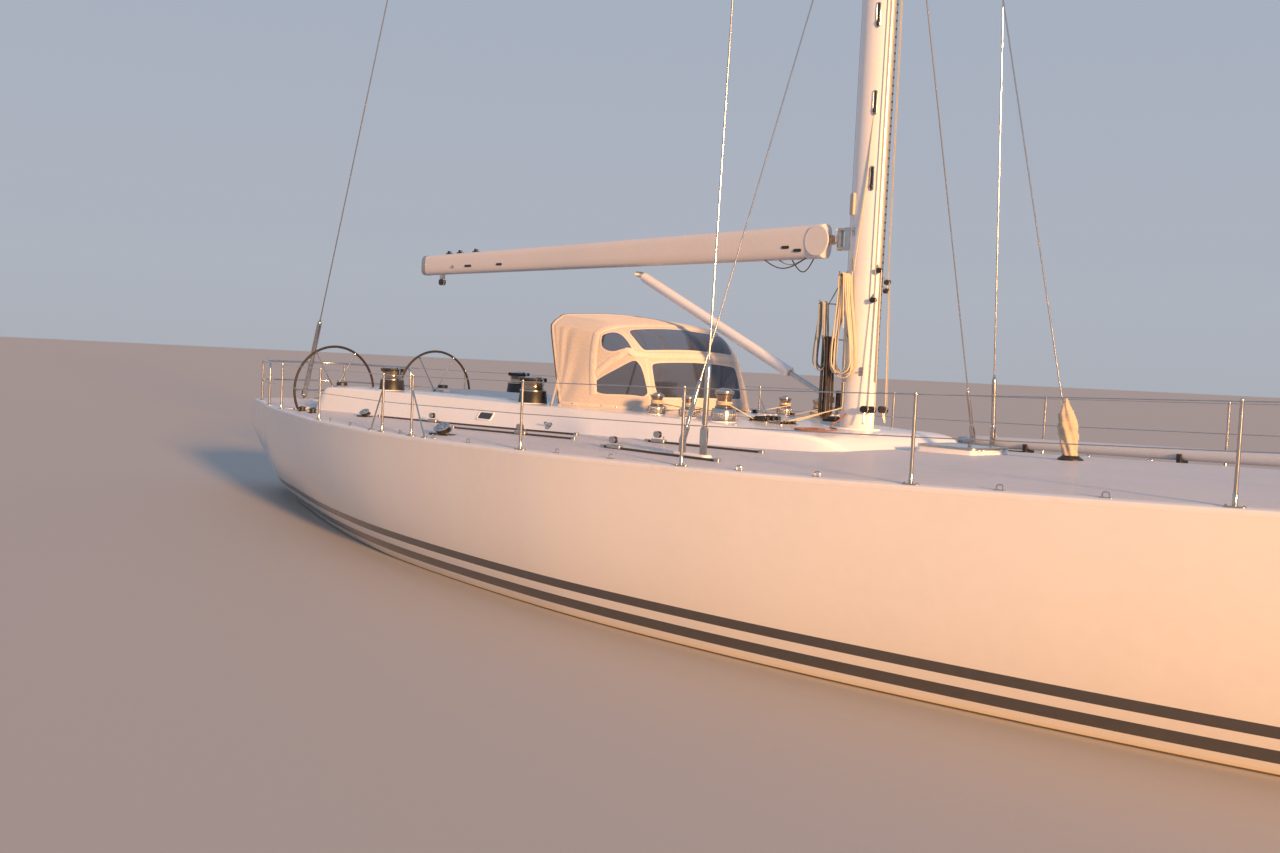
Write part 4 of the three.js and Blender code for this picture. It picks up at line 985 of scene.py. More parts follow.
lug_top = deck_z(CHAINPLATE.cap_x, CHAINPLATE.y) + CHAINPLATE.lug
for word, side in SIDES:
    y = side * CHAINPLATE.y
    eye = lug_top - 0.022
    route = [(CHAINPLATE.cap_x, y, eye)]
    route += [(MAST.x, side * reach, z) for _, z, reach in SPREADERS] + [(MAST.x, side * 0.04, 30.5)]
    shroud(f"cap_shroud_{word}", route, CAP_ROD, 0.025, 0.66)
    route = [(CHAINPLATE.lower_x, y, eye), (MAST.x, side * 0.06, 8.3)]
    shroud(f"lower_shroud_{word}", route, LOWER_ROD, 0.019, 0.54)
    base = deck_z(CHAINPLATE.cap_x, y)
    mesh = bmesh.new()
    slab(mesh, rounded(0.42, 0.11, 0.05), base - 0.035, base + 0.022, 0.008, at((-0.08, y, 0)), 1)
    for x in (CHAINPLATE.cap_x, CHAINPLATE.lower_x):
        slab(mesh, rounded(0.072, 0.21, 0.034), -0.01, 0.01, 0.002,
            on_edge((x, y, base + CHAINPLATE.lug - 0.092)))
    fitted(f"chainplate_{word}_lugs", mesh, [STEEL, MOULDING], "steel", f"chainplate_{word}")

shroud("forestay", [(11.15, 0, STEM[2] + 0.06), (0.25, 0, 31.005)], CAP_ROD, 0.026, 0.72)
shroud("backstay", [(-11.18, 0, STERN_PLATE[2] + 0.06), (-0.6, 0, 31.045)], CAP_ROD, 0.038, 1.27)
shroud("babystay", [(2.16, 0, BABY_PAD[2] + 0.035), (-0.06, 0, 11.26)], LOWER_ROD, 0.018, 0.44)
for name, (x, y, z), long, wide, high in (("stem_fitting", STEM, 0.26, 0.09, 0.06),
        ("backstay_plate", STERN_PLATE, 0.16, 0.12, 0.06), ("babystay_pad", BABY_PAD, 0.15, 0.11, 0.04)):
    mesh = bmesh.new()
    slab(mesh, rounded(long, wide, wide * 0.4), -0.024, 0.01, 0.003, at((x, y, z)))
    slab(mesh, rounded(long * 0.5, high * 1.9, high * 0.8), -0.007, 0.007, 0.002,
        on_edge((x + 0.05 * (name == "stem_fitting"), 0, z + 0.1 * high)))
    for k in (-0.36, 0.36):
        turned(mesh, [(0.009, 0.008), (0.009, 0.014), (0.005, 0.017)], at((x + k * long, y, z)), 12)
    fitted(name + "_lug", mesh, [STEEL], "steel", name)

mesh = bmesh.new()
outline = [(0.33, 0), (0.33, 0.05), (0.3, 0.07), (-0.68, 0.07), (-0.7, 0.055), (-0.7, 0.035), (-0.33, 0)]
slab(mesh, outline, -0.07, 0.07, 0.006, on_edge((0, 0, MAST.head + GAP)))
for x in (0.25, -0.6):
    turned(mesh, [(0.03, -0.055), (0.045, -0.05), (0.034, 0), (0.045, 0.05), (0.03, 0.055)],
        on_edge((x, 0, MAST.head + 0.035)), 20, 1)
fitted("masthead_crane_plate", mesh, [SPAR, STEEL], "spar", "masthead_crane")

# Winches
# Two-speed winches of polished drums on dark skirts or ribbed bases. The big ones stand on the
# coamings and feed themselves with ribbed jaws, and the small ones serve the halyards.

WINCHES = (
    # name, x, y, base radius, drum radius, height, has a skirt and jaws
    ("winch_primary", -6.85, 1.03, 0.165, 0.125, 0.3, True),
    ("winch_secondary", -3.85, 1.03, 0.165, 0.125, 0.3, True),
    ("winch_halyard", -0.95, 0.95, 0.125, 0.075, 0.32, False),
    ("winch_control", -1.38, 1.01, 0.092, 0.058, 0.215, False),
    ("winch_spinnaker", -1.85, 0.99, 0.092, 0.058, 0.215, False),
)
WINCH_SEAT = 0.012
RIBS = 36

# Chrome drums: the metal is real, and their gold-brown tint is a painted warm reflection.
DRUM_METAL_WARM_REFLECTION = plain_finish("winch_drum", "bba186", 0.14, "5b3c20", 0.4, 22, 0.0002, Metallic=1)
# Painted shade for the inside of the handle socket, which is not cut.
SOCKET_PAINTED_SHADE = plain_finish("winch_socket", "0c0c0d", 0.7)


def scaled(wide, high, *rows):
    return [(wide * a, high * b) for a, b in rows]


def big_winch(mesh, r, d, h):
    """Black skirt, silver ring, bright drum, ribbed jaws and cap, from the seat up."""
    turned(mesh, [(r, -0.035), (r, 0.004), (r * 0.985, 0.012), (r * 0.915, h * 0.4), (r * 0.89, h * 0.42)],
        sides=48)
    turned(mesh, scaled(r, h, (0.86, 0.41), (0.925, 0.43), (0.925, 0.48), (0.86, 0.5)), sides=48, slot=1)
    turned(mesh, scaled(d, h, (1.04, 0.49), (1.03, 0.51), (0.93, 0.58), (0.91, 0.64), (0.95, 0.72),
        (1.04, 0.78), (1.04, 0.8)), sides=48, slot=2)
    for z in (0.795, 0.875):
        turned(mesh, scaled(d, h, (0.8, z), (1.13, z), (1.17, z + 0.02), (1.17, z + 0.04), (0.95, z + 0.06)),
            sides=48)
    turned(mesh, scaled(d, h, (0.8, 0.93), (0.78, 0.955), (0.62, 0.985), (0.3, 1)), sides=40, slot=1)


def small_winch(mesh, r, d, h):
    """Ribbed base, waisted drum and a wide cap, from the seat up."""
    turned(mesh, [(r, -0.035), (r, 0.006), (r * 0.95, 0.01), (r * 0.93, 0.018), (r * 0.97, 0.024),
        (r * 0.97, h * 0.33), (r * 0.93, h * 0.36), (r * 0.86, h * 0.38)], sides=40, slot=1)
    turned(mesh, scaled(d, h, (1.1, 0.37), (1.18, 0.4), (1.18, 0.43), (0.96, 0.5), (0.9, 0.6), (0.96, 0.7),
        (1.12, 0.78), (1.12, 0.8)), sides=40, slot=2)
    turned(mesh, scaled(d, h, (0.95, 0.79), (1.22, 0.82), (1.27, 0.85), (1.25, 0.9), (0.9, 0.94),
        (0.62, 0.985), (0.4, 1)), sides=40, slot=1)


def handle_socket(mesh, h):
    """The star-shaped hole for the handle, as a dark inlay in the cap: painted shade for the dark inside of
    the hole.
    """
    star = []
    for k, a in enumerate(angles(16)):
        r = 0.01625 if k % 2 else 0.01235
        star.append((r * cos(a), r * sin(a)))
    slab(mesh, star, h - 0.004, h + 0.0012, 0.0005, slot=3)


winch_looks = [BLACK_PLASTIC_AND_HOLE_SHADE, STEEL, DRUM_METAL_WARM_REFLECTION, SOCKET_PAINTED_SHADE]
ribs = []
for name, x, y, base, drum, height, skirt in WINCHES:
    for word, side in SIDES:
        seat = Vector((x, side * y, along(ROOF, 3, x) + WINCH_SEAT))
        mesh = bmesh.new()
        (big_winch if skirt else small_winch)(mesh, base, drum, height)
        handle_socket(mesh, height)
        if skirt:
            arm = [(drum * 0.6, 0, height * 0.97), (drum * 1.1, 0, height * 0.96),
                (drum * 1.42, 0, height * 0.86), (drum * 1.38, 0, height * 0.7)]
            tube(mesh, arm, 0.01, 10, slot=1)
        bmesh.ops.transform(mesh, matrix=at(seat), verts=mesh.verts)
        turned(mesh, [(base + 0.03, -0.045), (base + 0.012, -0.006), (base + 0.004, 0.001)], at(seat), 48,
            slot=4)
        fitted(f"{name}_{word}_turned", mesh, [*winch_looks, MOULDING], "steel", f"{name}_{word}")
        for a in angles(RIBS):
            reach, low = (drum * 1.165, height * 0.79) if skirt else (base * 0.965, height * 0.06)
            spot = seat + Vector((reach * cos(a), reach * sin(a), low))
            ribs.append((skirt, spot, (0, 0, a)))

for skirt, name, high, finish in ((True, "winch_jaw_ribs", 0.045, BLACK_PLASTIC_AND_HOLE_SHADE),
        (False, "winch_base_ribs", 0.06, STEEL)):
    rib = bmesh.new()
    slab(rib, rounded(0.008, 0.006, 0.0025, 2), 0, high, 0.002)
    set_on(name, rib, [(spot, turn) for big, spot, turn in ribs if big == skirt], finish)

# Spray hood
# Cream acrylic canvas sewn over stainless bows, with clear vinyl windows in two tiers. Padded
# bands cover the seams, the after edge has dark piping and studs hold its foot to the roof.

HOOPS = (
    # hoop from aft, foot x, crown x, foot half width, shoulder half width, shoulder height, crown height
    (0, -3.27, -3.6, 1.12, 1.06, 2.64, 2.865),
    (1, -3.01, -3.1, 1.07, 1, 2.6, 2.83),
    (2, -2.76, -2.64, 0.99, 0.9, 2.5, 2.7),
    (3, -2.48, -2.37, 0.9, 0.8, 2.3, 2.44),
    (4, -2.22, -2.2, 0.81, 0.76, 1.93, 1.96),
    (5, -2.196, -2.192, 0.8, 0.752, 1.824, 1.842),
)
HOOD_FOOT = 1.83
HOOD_CLOTH = 0.003
VINYL = 0.0015
HOOD_STEPS = (80, 150)
# Outlines on the starboard half, as hoop number and turn: -1 at the foot, 0 at the crown
UPPER_SIDE_PANE = ((1.6, -0.715), (1.58, -0.62), (1.66, -0.46), (1.82, -0.375), (2.02, -0.36), (2.32, -0.395),
    (2.7, -0.465), (2.62, -0.54), (2.45, -0.635), (2.2, -0.7), (1.9, -0.725))
LOWER_SIDE_PANE = ((1.48, -0.89), (1.96, -0.825), (2.4, -0.767), (2.73, -0.7), (2.95, -0.615), (3.1, -0.51),
    (3.3, -0.5), (3.55, -0.54), (3.82, -0.6), (3.72, -0.8), (3.3, -0.88), (2.73, -0.915), (1.82, -0.935))
UPPER_FRONT_PANE = ((1.93, 0), (1.93, -0.1), (1.96, -0.2), (2.4, -0.3), (2.76, -0.32), (2.88, -0.24),
    (2.9, -0.1), (2.9, 0))
LOWER_FRONT_PANE = ((3.19, 0), (3.19, -0.1), (3.2, -0.2), (3.28, -0.27), (3.6, -0.335), (3.92, -0.31),
    (3.99, -0.2), (4, -0.1), (4, 0))
FRONT_BOW = ((1.66, -0.935), (1.46, -0.8), (1.44, -0.65), (1.5, -0.45), (1.62, -0.33), (1.71, -0.17),
    (1.7, 0))
TIER_BAND = ((1.62, -0.835), (2, -0.765), (2.35, -0.7), (2.66, -0.55), (2.84, -0.42), (2.98, -0.26),
    (3.03, -0.12), (3.04, 0))


def roof_top(x, y):
    flat = along(ROOF, 2, x) - 0.65 * ROOF_EDGE
    return along(ROOF, 3, x) + along(ROOF, 4, x) * (1 - (y / flat) ** 2)


def between(a, b, t):
    return a + (b - a) * t


def hood_frame_point(u, v):
    """A point of the hood's smooth form: u counts hoops from aft, v runs from -1 to 1 over the crown."""
    foot_x, crown_x, foot, shoulder, shoulder_z, crown_z = (along(HOOPS, index, u) for index in range(1, 7))
    half = [(0, foot, roof_top(foot_x, foot)),
        (1, between(foot, shoulder, 0.55), between(HOOD_FOOT, shoulder_z, 0.5)), (2, shoulder, shoulder_z)]
    for k, angle in enumerate((22, 45, 68)):
        a = radians(angle)
        half.append((3 + k, shoulder * (0.55 + 0.45 * cos(a)), between(shoulder_z, crown_z, 0.9 * sin(a))))
    half.append((6, 0, crown_z))
    half.append((7, -half[5][1], half[5][2]))
    turn = 6 * (1 - abs(v))
    y, z = along(half, 1, turn), along(half, 2, turn)
    rise = min(max((z - HOOD_FOOT) / max(crown_z - HOOD_FOOT, 0.01), -0.1), 1)
    return Vector((between(foot_x, crown_x, rise), copysign(y, v), z))


def hood_normal(u, v):
    d = 0.01
    a = hood_frame_point(min(u + d, 5), v) - hood_frame_point(max(u - d, 0), v)
    b = hood_frame_point(u, min(v + d, 1)) - hood_frame_point(u, max(v - d, -1))
    normal = b.cross(a).normalized()
    outwards = Vector((0.3, copysign(1, v), 1))
    return normal if normal.dot(outwards) > 0 else -normal


def hood_folds(u, v):
    """How far the cloth sinks between its bows and gathers into folds above the after feet."""
    sag = -0.012 * sin(pi * min(u / 1.5, 1)) ** 2 * (1 - abs(v)) ** 0.5
    down, fore = 1 - abs(v), u / 1.4
    spread_angle = atan2(down, fore + 0.02)
    away = hypot(down / 0.5, fore)
    fade = exp(-((away - 0.55) / 0.45) ** 2)
    folds = 0.007 * sin(spread_angle * 17 + 0.8 * sin(away * 5)) * fade * (u < 1.6)
    return sag + folds


def hood_point(u, v, lift=0):
    return hood_frame_point(u, v) + hood_normal(u, v) * (hood_folds(u, v) + lift)


def softened(outline, times=3):
    """A closed outline whose corners are cut again and again."""
    for _ in range(times):
        outline = [(a[0] * t + b[0] * (1 - t), a[1] * t + b[1] * (1 - t))
            for a, b in zip(outline, outline[1:] + outline[:1]) for t in (0.75, 0.25)]
    return outline


def other_side(outline):
    return [(u, -v) for u, v in reversed(outline)]


def both_sides(half):
    """An outline across the middle from its one half."""
    return [*half, *other_side([spot for spot in half if spot[1]])]


def inside(outline, point):
    hit = False
    for (x0, y0), (x1, y1) in zip(outline, outline[1:] + outline[:1]):
        if (y0 > point[1]) != (y1 > point[1]):
            hit ^= point[0] < (x1 - x0) * (point[1] - y0) / (y1 - y0) + x0
    return hit


panes = [softened([*outline]) for outline in (UPPER_SIDE_PANE, other_side(UPPER_SIDE_PANE), LOWER_SIDE_PANE,
    other_side(LOWER_SIDE_PANE), both_sides(UPPER_FRONT_PANE), both_sides(LOWER_FRONT_PANE))]

across_steps, round_steps = HOOD_STEPS
flat_points = [Vector((5 * i / across_steps, 2 * j / round_steps - 1)) for i in range(across_steps + 1)
    for j in range(round_steps + 1)]
pane_edges = []
for outline in panes:
    start = len(flat_points)
    flat_points += [Vector(point) for point in outline]
    count = len(outline)
    pane_edges += [(start + k, start + (k + 1) % count) for k in range(count)]
cut = delaunay_2d_cdt(flat_points, pane_edges, [], 0, 1e-5)
cut_points, cut_faces = cut[0], cut[2]


def hood_sheet(name, chosen, thickness, finish):
    """The chosen triangles of the pattern, laid on the hood's form and thickened."""
    used = sorted({index for face in chosen for index in face})
    number = {index: k for k, index in enumerate(used)}
    data = bpy.data.meshes.new(name)
    places = [hood_point(*cut_points[index]) for index in used]
    faces = [[number[index] for index in face] for face in chosen]
    data.from_pydata(places, [], faces)
    pattern = data.uv_layers.new(name="cloth")
    for loop in data.loops:
        u, v = cut_points[used[loop.vertex_index]]
        pattern.data[loop.index].uv = (u * 0.45, v * 1.9)
    data.materials.append(finish)
    obj = linked_object(name, data)
    wall = obj.modifiers.new("wall", "SOLIDIFY")
    wall.thickness = thickness
    wall.offset = -1
    applied(obj)
    mesh = bmesh.new()
    mesh.from_mesh(obj.data)
    bmesh.ops.recalc_face_normals(mesh, faces=mesh.faces)
    mesh.to_mesh(obj.data)
    mesh.free()
    obj.data.shade_smooth()
    obj.data.set_sharp_from_angle(angle=radians(60))
    return obj


# Weave: over and under threads of a cloth whose pattern lies in metres
WEAVE, entry, leave = group("weave", {"Vector": None, "Pitch": 0.0012}, {"Height": float, "Tone": float})
parts = put(WEAVE, "ShaderNodeSeparateXYZ", {"Vector": entry["Vector"]})
turn = maths(WEAVE, "DIVIDE", pi, entry["Pitch"])
warp = maths(WEAVE, "SINE", maths(WEAVE, "MULTIPLY", parts.outputs["X"], turn))
weft = maths(WEAVE, "SINE", maths(WEAVE, "MULTIPLY", parts.outputs["Y"], turn))
over = maths(WEAVE, "MULTIPLY", warp, weft)
WEAVE.links.new(spread(WEAVE, over, -1, 1), leave["Height"])
slub = noise(WEAVE, entry["Vector"], 60, 4)
WEAVE.links.new(slub, leave["Tone"])


def canvas(name, light, shade):
    """Woven acrylic canvas, a little uneven in colour."""
    made, tree, shader = new_material(name, Sheen_Weight=0.25, Sheen_Roughness=0.5)
    cloth = put(tree, "ShaderNodeUVMap", uv_map="cloth").outputs["UV"]
    node = put(tree, "ShaderNodeGroup", {"Vector": cloth}, node_tree=WEAVE)
    colour = mixed(tree, spread(tree, node.outputs["Tone"], 0.35, 0.65), rgb(light), rgb(shade))
    weathered(tree, shader, colour, "94806a", 0.25, 2.4, 0.85, 0.06)
    relief(tree, shader, node.outputs["Height"], 0.0004)
    return made


HOOD_CANVAS = canvas("hood_canvas", "cdc2ba", "c1b5ab")
BAND_CANVAS = canvas("hood_band_canvas", "d8cec5", "cdc1b6")
PIPING = plain_finish("hood_piping", "3a3733", 0.7, "8c7355", 0.3, 8, 0.0006)
# The windows are clear vinyl. Their blue-grey tint is a painted reflection of the sky.
VINYL_PAINTED_SKY_TINT, tree, shader = new_material("hood_vinyl", Transmission_Weight=0.9, IOR=1.45)
place = own_place(tree)
weathered(tree, shader, rgb("9197a4"), "a79c8a", 0.2, 3, 0.05, 0.05)
relief(tree, shader, noise(tree, place, 3.5, 2), 0.004)

in_pane, in_cloth = [], []
for face in cut_faces:
    centre = sum((cut_points[index] for index in face), Vector((0, 0))) / len(face)
    (in_pane if any(inside(outline, centre) for outline in panes) else in_cloth).append(face)
cloth = hood_sheet("spray_hood_canvas", in_cloth, HOOD_CLOTH, HOOD_CANVAS)
windows = hood_sheet("spray_hood_windows", in_pane, VINYL, VINYL_PAINTED_SKY_TINT)
settled(cloth, "canvas", "spray_hood")
settled(windows, "canvas")


def hood_path(spots, closed=False, spacing=0.02):
    """Evenly spaced places on the hood, each with its normal."""
    if closed:
        rows = list(spots) + [spots[0]]
    else:
        table = [(k, *spot) for k, spot in enumerate(spots)]
        rows = [(along(table, 1, t), along(table, 2, t)) for t in steps(0, len(table) - 1, 0.125)]
    path = []
    for u, v in rows:
        place = hood_point(u, v, HOOD_CLOTH * 0.2)
        if not path or (place - path[-1][0]).length > spacing:
            path.append((place, hood_normal(u, v)))
    if closed and (path[-1][0] - path[0][0]).length < spacing * 0.6:
        path.pop()
    return path


def with_asides(path, closed):
    """A path's rows, each with its sideways direction along the surface."""
    places = [place for place, _ in path]
    befores = places[-1:] + places[:-1] if closed else places[:1] + places[:-1]
    afters = places[1:] + (places[:1] if closed else places[-1:])
    return [(place, normal, (after - before).normalized().cross(normal).normalized())
        for (place, normal), before, after in zip(path, befores, afters)]


def sewn_band(mesh, path, width, height, closed=False):
    """A padded strip on the cloth: flat underneath and softly domed over."""
    shape = ((-0.5, -0.6), (-0.5, 0.25), (-0.38, 0.75), (-0.15, 1), (0.15, 1), (0.38, 0.75), (0.5, 0.25),
        (0.5, -0.6))
    rings = [[place + aside * width * a + normal * height * b for a, b in shape]
        for place, normal, aside in with_asides(path, closed)]
    skin(mesh, rings, closed)


def beside(path, amount, closed):
    """A path moved sideways along the surface, for a row of stitches."""
    return [(place + aside * amount + normal * 0.0015, normal)
        for place, normal, aside in with_asides(path, closed)]


after_edge = [(0.02, v) for v in steps(-1, 1, 0.1)]
foot_edge = [(u, -0.985) for u in steps(0.05, 4.9, 0.35)]
pillar = [(3.06, -0.335), (3.35, -0.4), (3.65, -0.45), (4, -0.45), (4.5, -0.45)]
brow = [(1.86, -0.3), (2.15, -0.33), (2.45, -0.36), (2.72, -0.4)]
bands = [
    # path, width, height, closed
    (hood_path(both_sides(FRONT_BOW)), 0.085, 0.01, False),
    (hood_path(both_sides(TIER_BAND)), 0.07, 0.01, False),
    (hood_path(after_edge), 0.045, 0.003, False),
]
for edge in (foot_edge, pillar, brow):
    bands.append((hood_path(edge), 0.035, 0.004, False))
    bands.append((hood_path([(u, -v) for u, v in edge]), 0.035, 0.004, False))
for outline in panes:
    bands.append((hood_path(outline, True), 0.02, 0.0022, True))
mesh = bmesh.new()
stitch_rows = []
for path, width, height, closed in bands:
    sewn_band(mesh, path, width, height, closed)
    for side in (-1, 1):
        stitch_rows.append(beside(path, side * (width / 2 - 0.004), closed))
trim = finished("spray_hood_bands", mesh, [BAND_CANVAS], 50)
pattern = trim.data.uv_layers.new(name="cloth")
for loop in trim.data.loops:
    x, y, z = trim.data.vertices[loop.vertex_index].co
    pattern.data[loop.index].uv = (x + z, y)
settled(trim, "canvas")

stitch = bmesh.new()
slab(stitch, rounded(0.0058, 0.0014, 0.0006, 1), 0, 0.0009, 0.0003)
stitches = row_along("spray_hood_stitches", stitch, stitch_rows, 0.01, BAND_CANVAS, "canvas")

mesh = bmesh.new()
tube(mesh, [hood_point(0, v) for v in steps(-0.99, 0.99, 0.03)], 0.007, 10)
fitted("spray_hood_piping", mesh, [PIPING], "canvas")

mesh = bmesh.new()
for u, low in ((0.12, -0.97), (1.62, -0.97), (2.95, -0.95)):
    tube(mesh, [hood_point(u, v, -0.022) for v in steps(low, -low, 0.035)], 0.0125, 12)
    for side in (-1, 1):
        foot = hood_point(u, side * abs(low), -0.022)
        base = Vector((foot.x, foot.y, roof_top(foot.x, foot.y)))
        slab(mesh, rounded(0.07, 0.035, 0.012), -0.004, 0.006, 0.002, at(base))
        slab(mesh, rounded(0.034, 0.05, 0.012), -0.018, 0.018, 0.003, on_edge(base + Vector((0, 0, 0.024))))
fitted("spray_hood_bows", mesh, [STEEL], "steel")

stud = bmesh.new()
turned(stud, [(0.0085, -0.001), (0.0085, 0.003), (0.006, 0.0052), (0.002, 0.0058)], sides=12)
stud_rows = [[(place + normal * 0.004, normal)
    for place, normal in hood_path([(u, side * v) for u, v in foot_edge])] for side in (-1, 1)]
row_along("spray_hood_studs", stud, stud_rows, 0.16, STEEL)

mesh = bmesh.new()
for side in (-1, 1):
    low, high = Vector((-3.4, side * 1.12, roof_top(-3.4, 1.12) + 0.004)), hood_point(0.03, side * 0.9, 0.006)
    out = hood_normal(0.03, side * 0.9)
    sewn_band(mesh, [(between(low, high, t), out) for t in steps(0, 1.08, 0.12)], 0.026, 0.003)
    turned(mesh, [(0.02, -0.006), (0.02, 0.004), (0.012, 0.01)], at(low), 16, 1)
fitted("spray_hood_straps", mesh, [BAND_CANVAS, STEEL], "canvas")

# Guardrails, pulpit and pushpit
# Polished stainless tube. Stanchions stand in oval bases bolted along the deck edge, two wires run
# through them, braces stiffen the gate, and welded frames close the bow and the stern.

RAIL_HEIGHT = 0.62
RAIL_MIDDLE = 0.325
RAIL_INSET = 0.06
STANCHIONS = (8.4, 6.46, 4.42, 2.38, 0.34, -1.7, -3.75, -4.46, -6.6, -8.91)
GATE_BRACES = {-3.75: 0.3, -4.46: -0.3}
PULPIT_AFT = 9.35
PULPIT_FORE = 10.45
PUSHPIT_FORE = -9.95
PUSHPIT_CORNER = -11.2
WIRE = 0.004
TUBE = 0.016


def rail_point(x, side, rise=0):
    y = half_beam(x) - RAIL_INSET
    return Vector((x, side * y, deck_z(x, y) + rise))


def curved(points, radius, count=6):
    """A path whose corners are rounded, for a bent tube."""
    stops = [Vector(point) for point in points]
    path = [stops[0]]
    for before, here, after in zip(stops, stops[1:], stops[2:]):
        back, forth = before - here, after - here
        cut_off = min(radius, back.length * 0.45, forth.length * 0.45)
        a, b = here + back.normalized() * cut_off, here + forth.normalized() * cut_off
        for k in range(count + 1):
            t = k / count
            path.append(a * (1 - t) ** 2 + here * 2 * t * (1 - t) + b * t ** 2)
    return path + [stops[-1]]


def foot_plate(mesh, point):
    """A round flange where a tube meets the deck."""
    turned(mesh, [(0.036, -0.004), (0.036, 0.004), (0.024, 0.008), (0.02, 0.018)], at(point), 24)


stanchion = bmesh.new()
turned(stanchion, [(0.013, 0), (0.013, 0.56), (0.0115, 0.62), (0.012, 0.628), (0.01, 0.634), (0.004, 0.637)],
    sides=16)
turned(stanchion, [(0.0165, 0.006), (0.0165, 0.075), (0.014, 0.08)], sides=16)
for height in (RAIL_MIDDLE, RAIL_HEIGHT - 0.003):
    turned(stanchion, [(0.007, -0.016), (0.0075, -0.0155), (0.0075, 0.0155), (0.007, 0.016)],
        at((0, 0, height)) @ ALONG_X, 10)
slab(stanchion, rounded(0.135, 0.062, 0.03), -0.006, 0.008, 0.002)
for x in (-0.05, 0.05):
    turned(stanchion, [(0.008, 0.007), (0.008, 0.012), (0.0045, 0.0145)], at((x, 0, 0)), 6)

for word, side in SIDES:
    spots = []
    for x in STANCHIONS:
        slope = atan2(half_beam(x + 0.1) - half_beam(x - 0.1), 0.2) * side
        spots.append((rail_point(x, side), (0, 0, slope)))
    set_on(f"stanchions_{word}", stanchion.copy(), spots, STEEL, f"guardrail_{word}")
    mesh = bmesh.new()
    for rise in (RAIL_HEIGHT - 0.003, RAIL_MIDDLE):
        stops = [rail_point(x, side, rise) for x in (PULPIT_AFT, *STANCHIONS, PUSHPIT_FORE)]
        tube(mesh, stops, WIRE, 8)
        for end, beyond in ((stops[0], stops[1]), (stops[-1], stops[-2])):
            turned(mesh, [(0.004, 0.02), (0.0075, 0.03), (0.0075, 0.13), (0.005, 0.145)], aimed(end, beyond),
                12)
    for x, reach in GATE_BRACES.items():
        top_of, foot = rail_point(x, side, 0.48), rail_point(x + reach, side)
        tube(mesh, [top_of, foot], 0.0085, 12)
        foot_plate(mesh, foot)
    fitted(f"guard_wires_{word}", mesh, [STEEL], "steel")

for word, points, low in (("pulpit", [(11.33, 0.09, 0.06), (11.15, 0.19, 0.05)], [PULPIT_FORE, PULPIT_AFT]),
        ("pushpit", [(-11.4, 0.12, 0), (-11.36, 0.42, 0)], [PUSHPIT_CORNER, PUSHPIT_FORE])):
    near, far = low
    mesh = bmesh.new()
    base = rail_point(near, 1).z
    for rise, radius in ((RAIL_HEIGHT, TUBE), (RAIL_MIDDLE, TUBE * 0.8)):
        port = [rail_point(near, 1, rise), rail_point(far, 1, rise)]
        if rise == RAIL_HEIGHT:
            port.append(rail_point(far, 1))
        if word == "pushpit" or rise == RAIL_HEIGHT:
            port = [Vector((x, y, base + rise + more)) for x, y, more in points] + port
            full = [Vector((p.x, -p.y, p.z)) for p in reversed(port)] + port
            tube(mesh, curved(full, 0.12), radius, 16)
        else:
            for side in (-1, 1):
                tube(mesh, [Vector((p.x, side * p.y, p.z)) for p in port], radius, 14)
    for side in (-1, 1):
        tube(mesh, [rail_point(near, side), rail_point(near, side, RAIL_HEIGHT)], TUBE, 16)
        foot_plate(mesh, rail_point(near, side))
        foot_plate(mesh, rail_point(far, side))
    fitted(word + "_frame", mesh, [STEEL], "steel", word)

# Boom, gooseneck and vang
# A deep white alloy boom with closed ends, hung on the mast by a toggle between two plates. A
# rigid vang, a barrel with a rod inside it, holds the boom up and pulls it down.

BOOM = Sizes(fore=-0.64, aft=-7.75)
VANG_FOOT = Vector((-0.4, 0, 2.05))
VANG_LUG = Vector((-3.28, 0, 3.33))
GOOSENECK_PIN = Vector((-0.47, 0, 3.62))
PIN_REACH = Vector((0, 0.09, 0))
VANG_CHEEK = ((0.045, 0.016), (0.03, 0.024), (0, 0.028), (-0.03, 0.024), (-0.05, 0.012), (-0.1, 0.016))
BOOM_SIDES = 40


def boom_ring(x, grow=0):
    t = (BOOM.fore - x) / (BOOM.fore - BOOM.aft)
    high, low, half = between(3.78, 3.67, t), between(3.44, 3.4, t), between(0.1, 0.085, t) + grow
    middle, depth = (high + low) / 2, (high - low) / 2 + grow
    ring = []
    for a in angles(BOOM_SIDES):
        c, q = cos(a), sin(a)
        ring.append((x, half * copysign(abs(c) ** 0.6, c), middle + depth * copysign(abs(q) ** 0.6, q)))
    return ring


# Painted shade: the boom has the mast's white paint, and this greyer copy stands for the shade the boom lies
# in.
SHADED_BOOM_PAINT = plain_finish("boom_paint", "d3cfd0", 0.34, "8b7c6c", 0.12, 1.4, 0.0003, Coat_Weight=0.3)
mesh = bmesh.new()
skin(mesh, [boom_ring(x) for x in steps(BOOM.aft + 0.03, BOOM.fore, 0.5)])
skin(mesh, [boom_ring(BOOM.aft, -0.012), boom_ring(BOOM.aft + 0.008, -0.002),
    boom_ring(BOOM.aft + 0.035, 0.002), boom_ring(BOOM.aft + 0.11, 0.002)], slot=1)
outline = [(0.06, 0.14), (-0.06, 0.14), (-0.045, 0), (-0.03, -0.035), (0, -0.045), (0.03, -0.035), (0.045, 0)]
slab(mesh, outline, -0.012, 0.012, 0.002, on_edge(VANG_LUG), 2)
boom = finished("boom_tube", mesh, [SHADED_BOOM_PAINT, ALLOY, STEEL])
bored(boom, VANG_LUG - PIN_REACH, VANG_LUG + PIN_REACH, 0.0145)
settled(boom, "spar", "boom", body="boom")

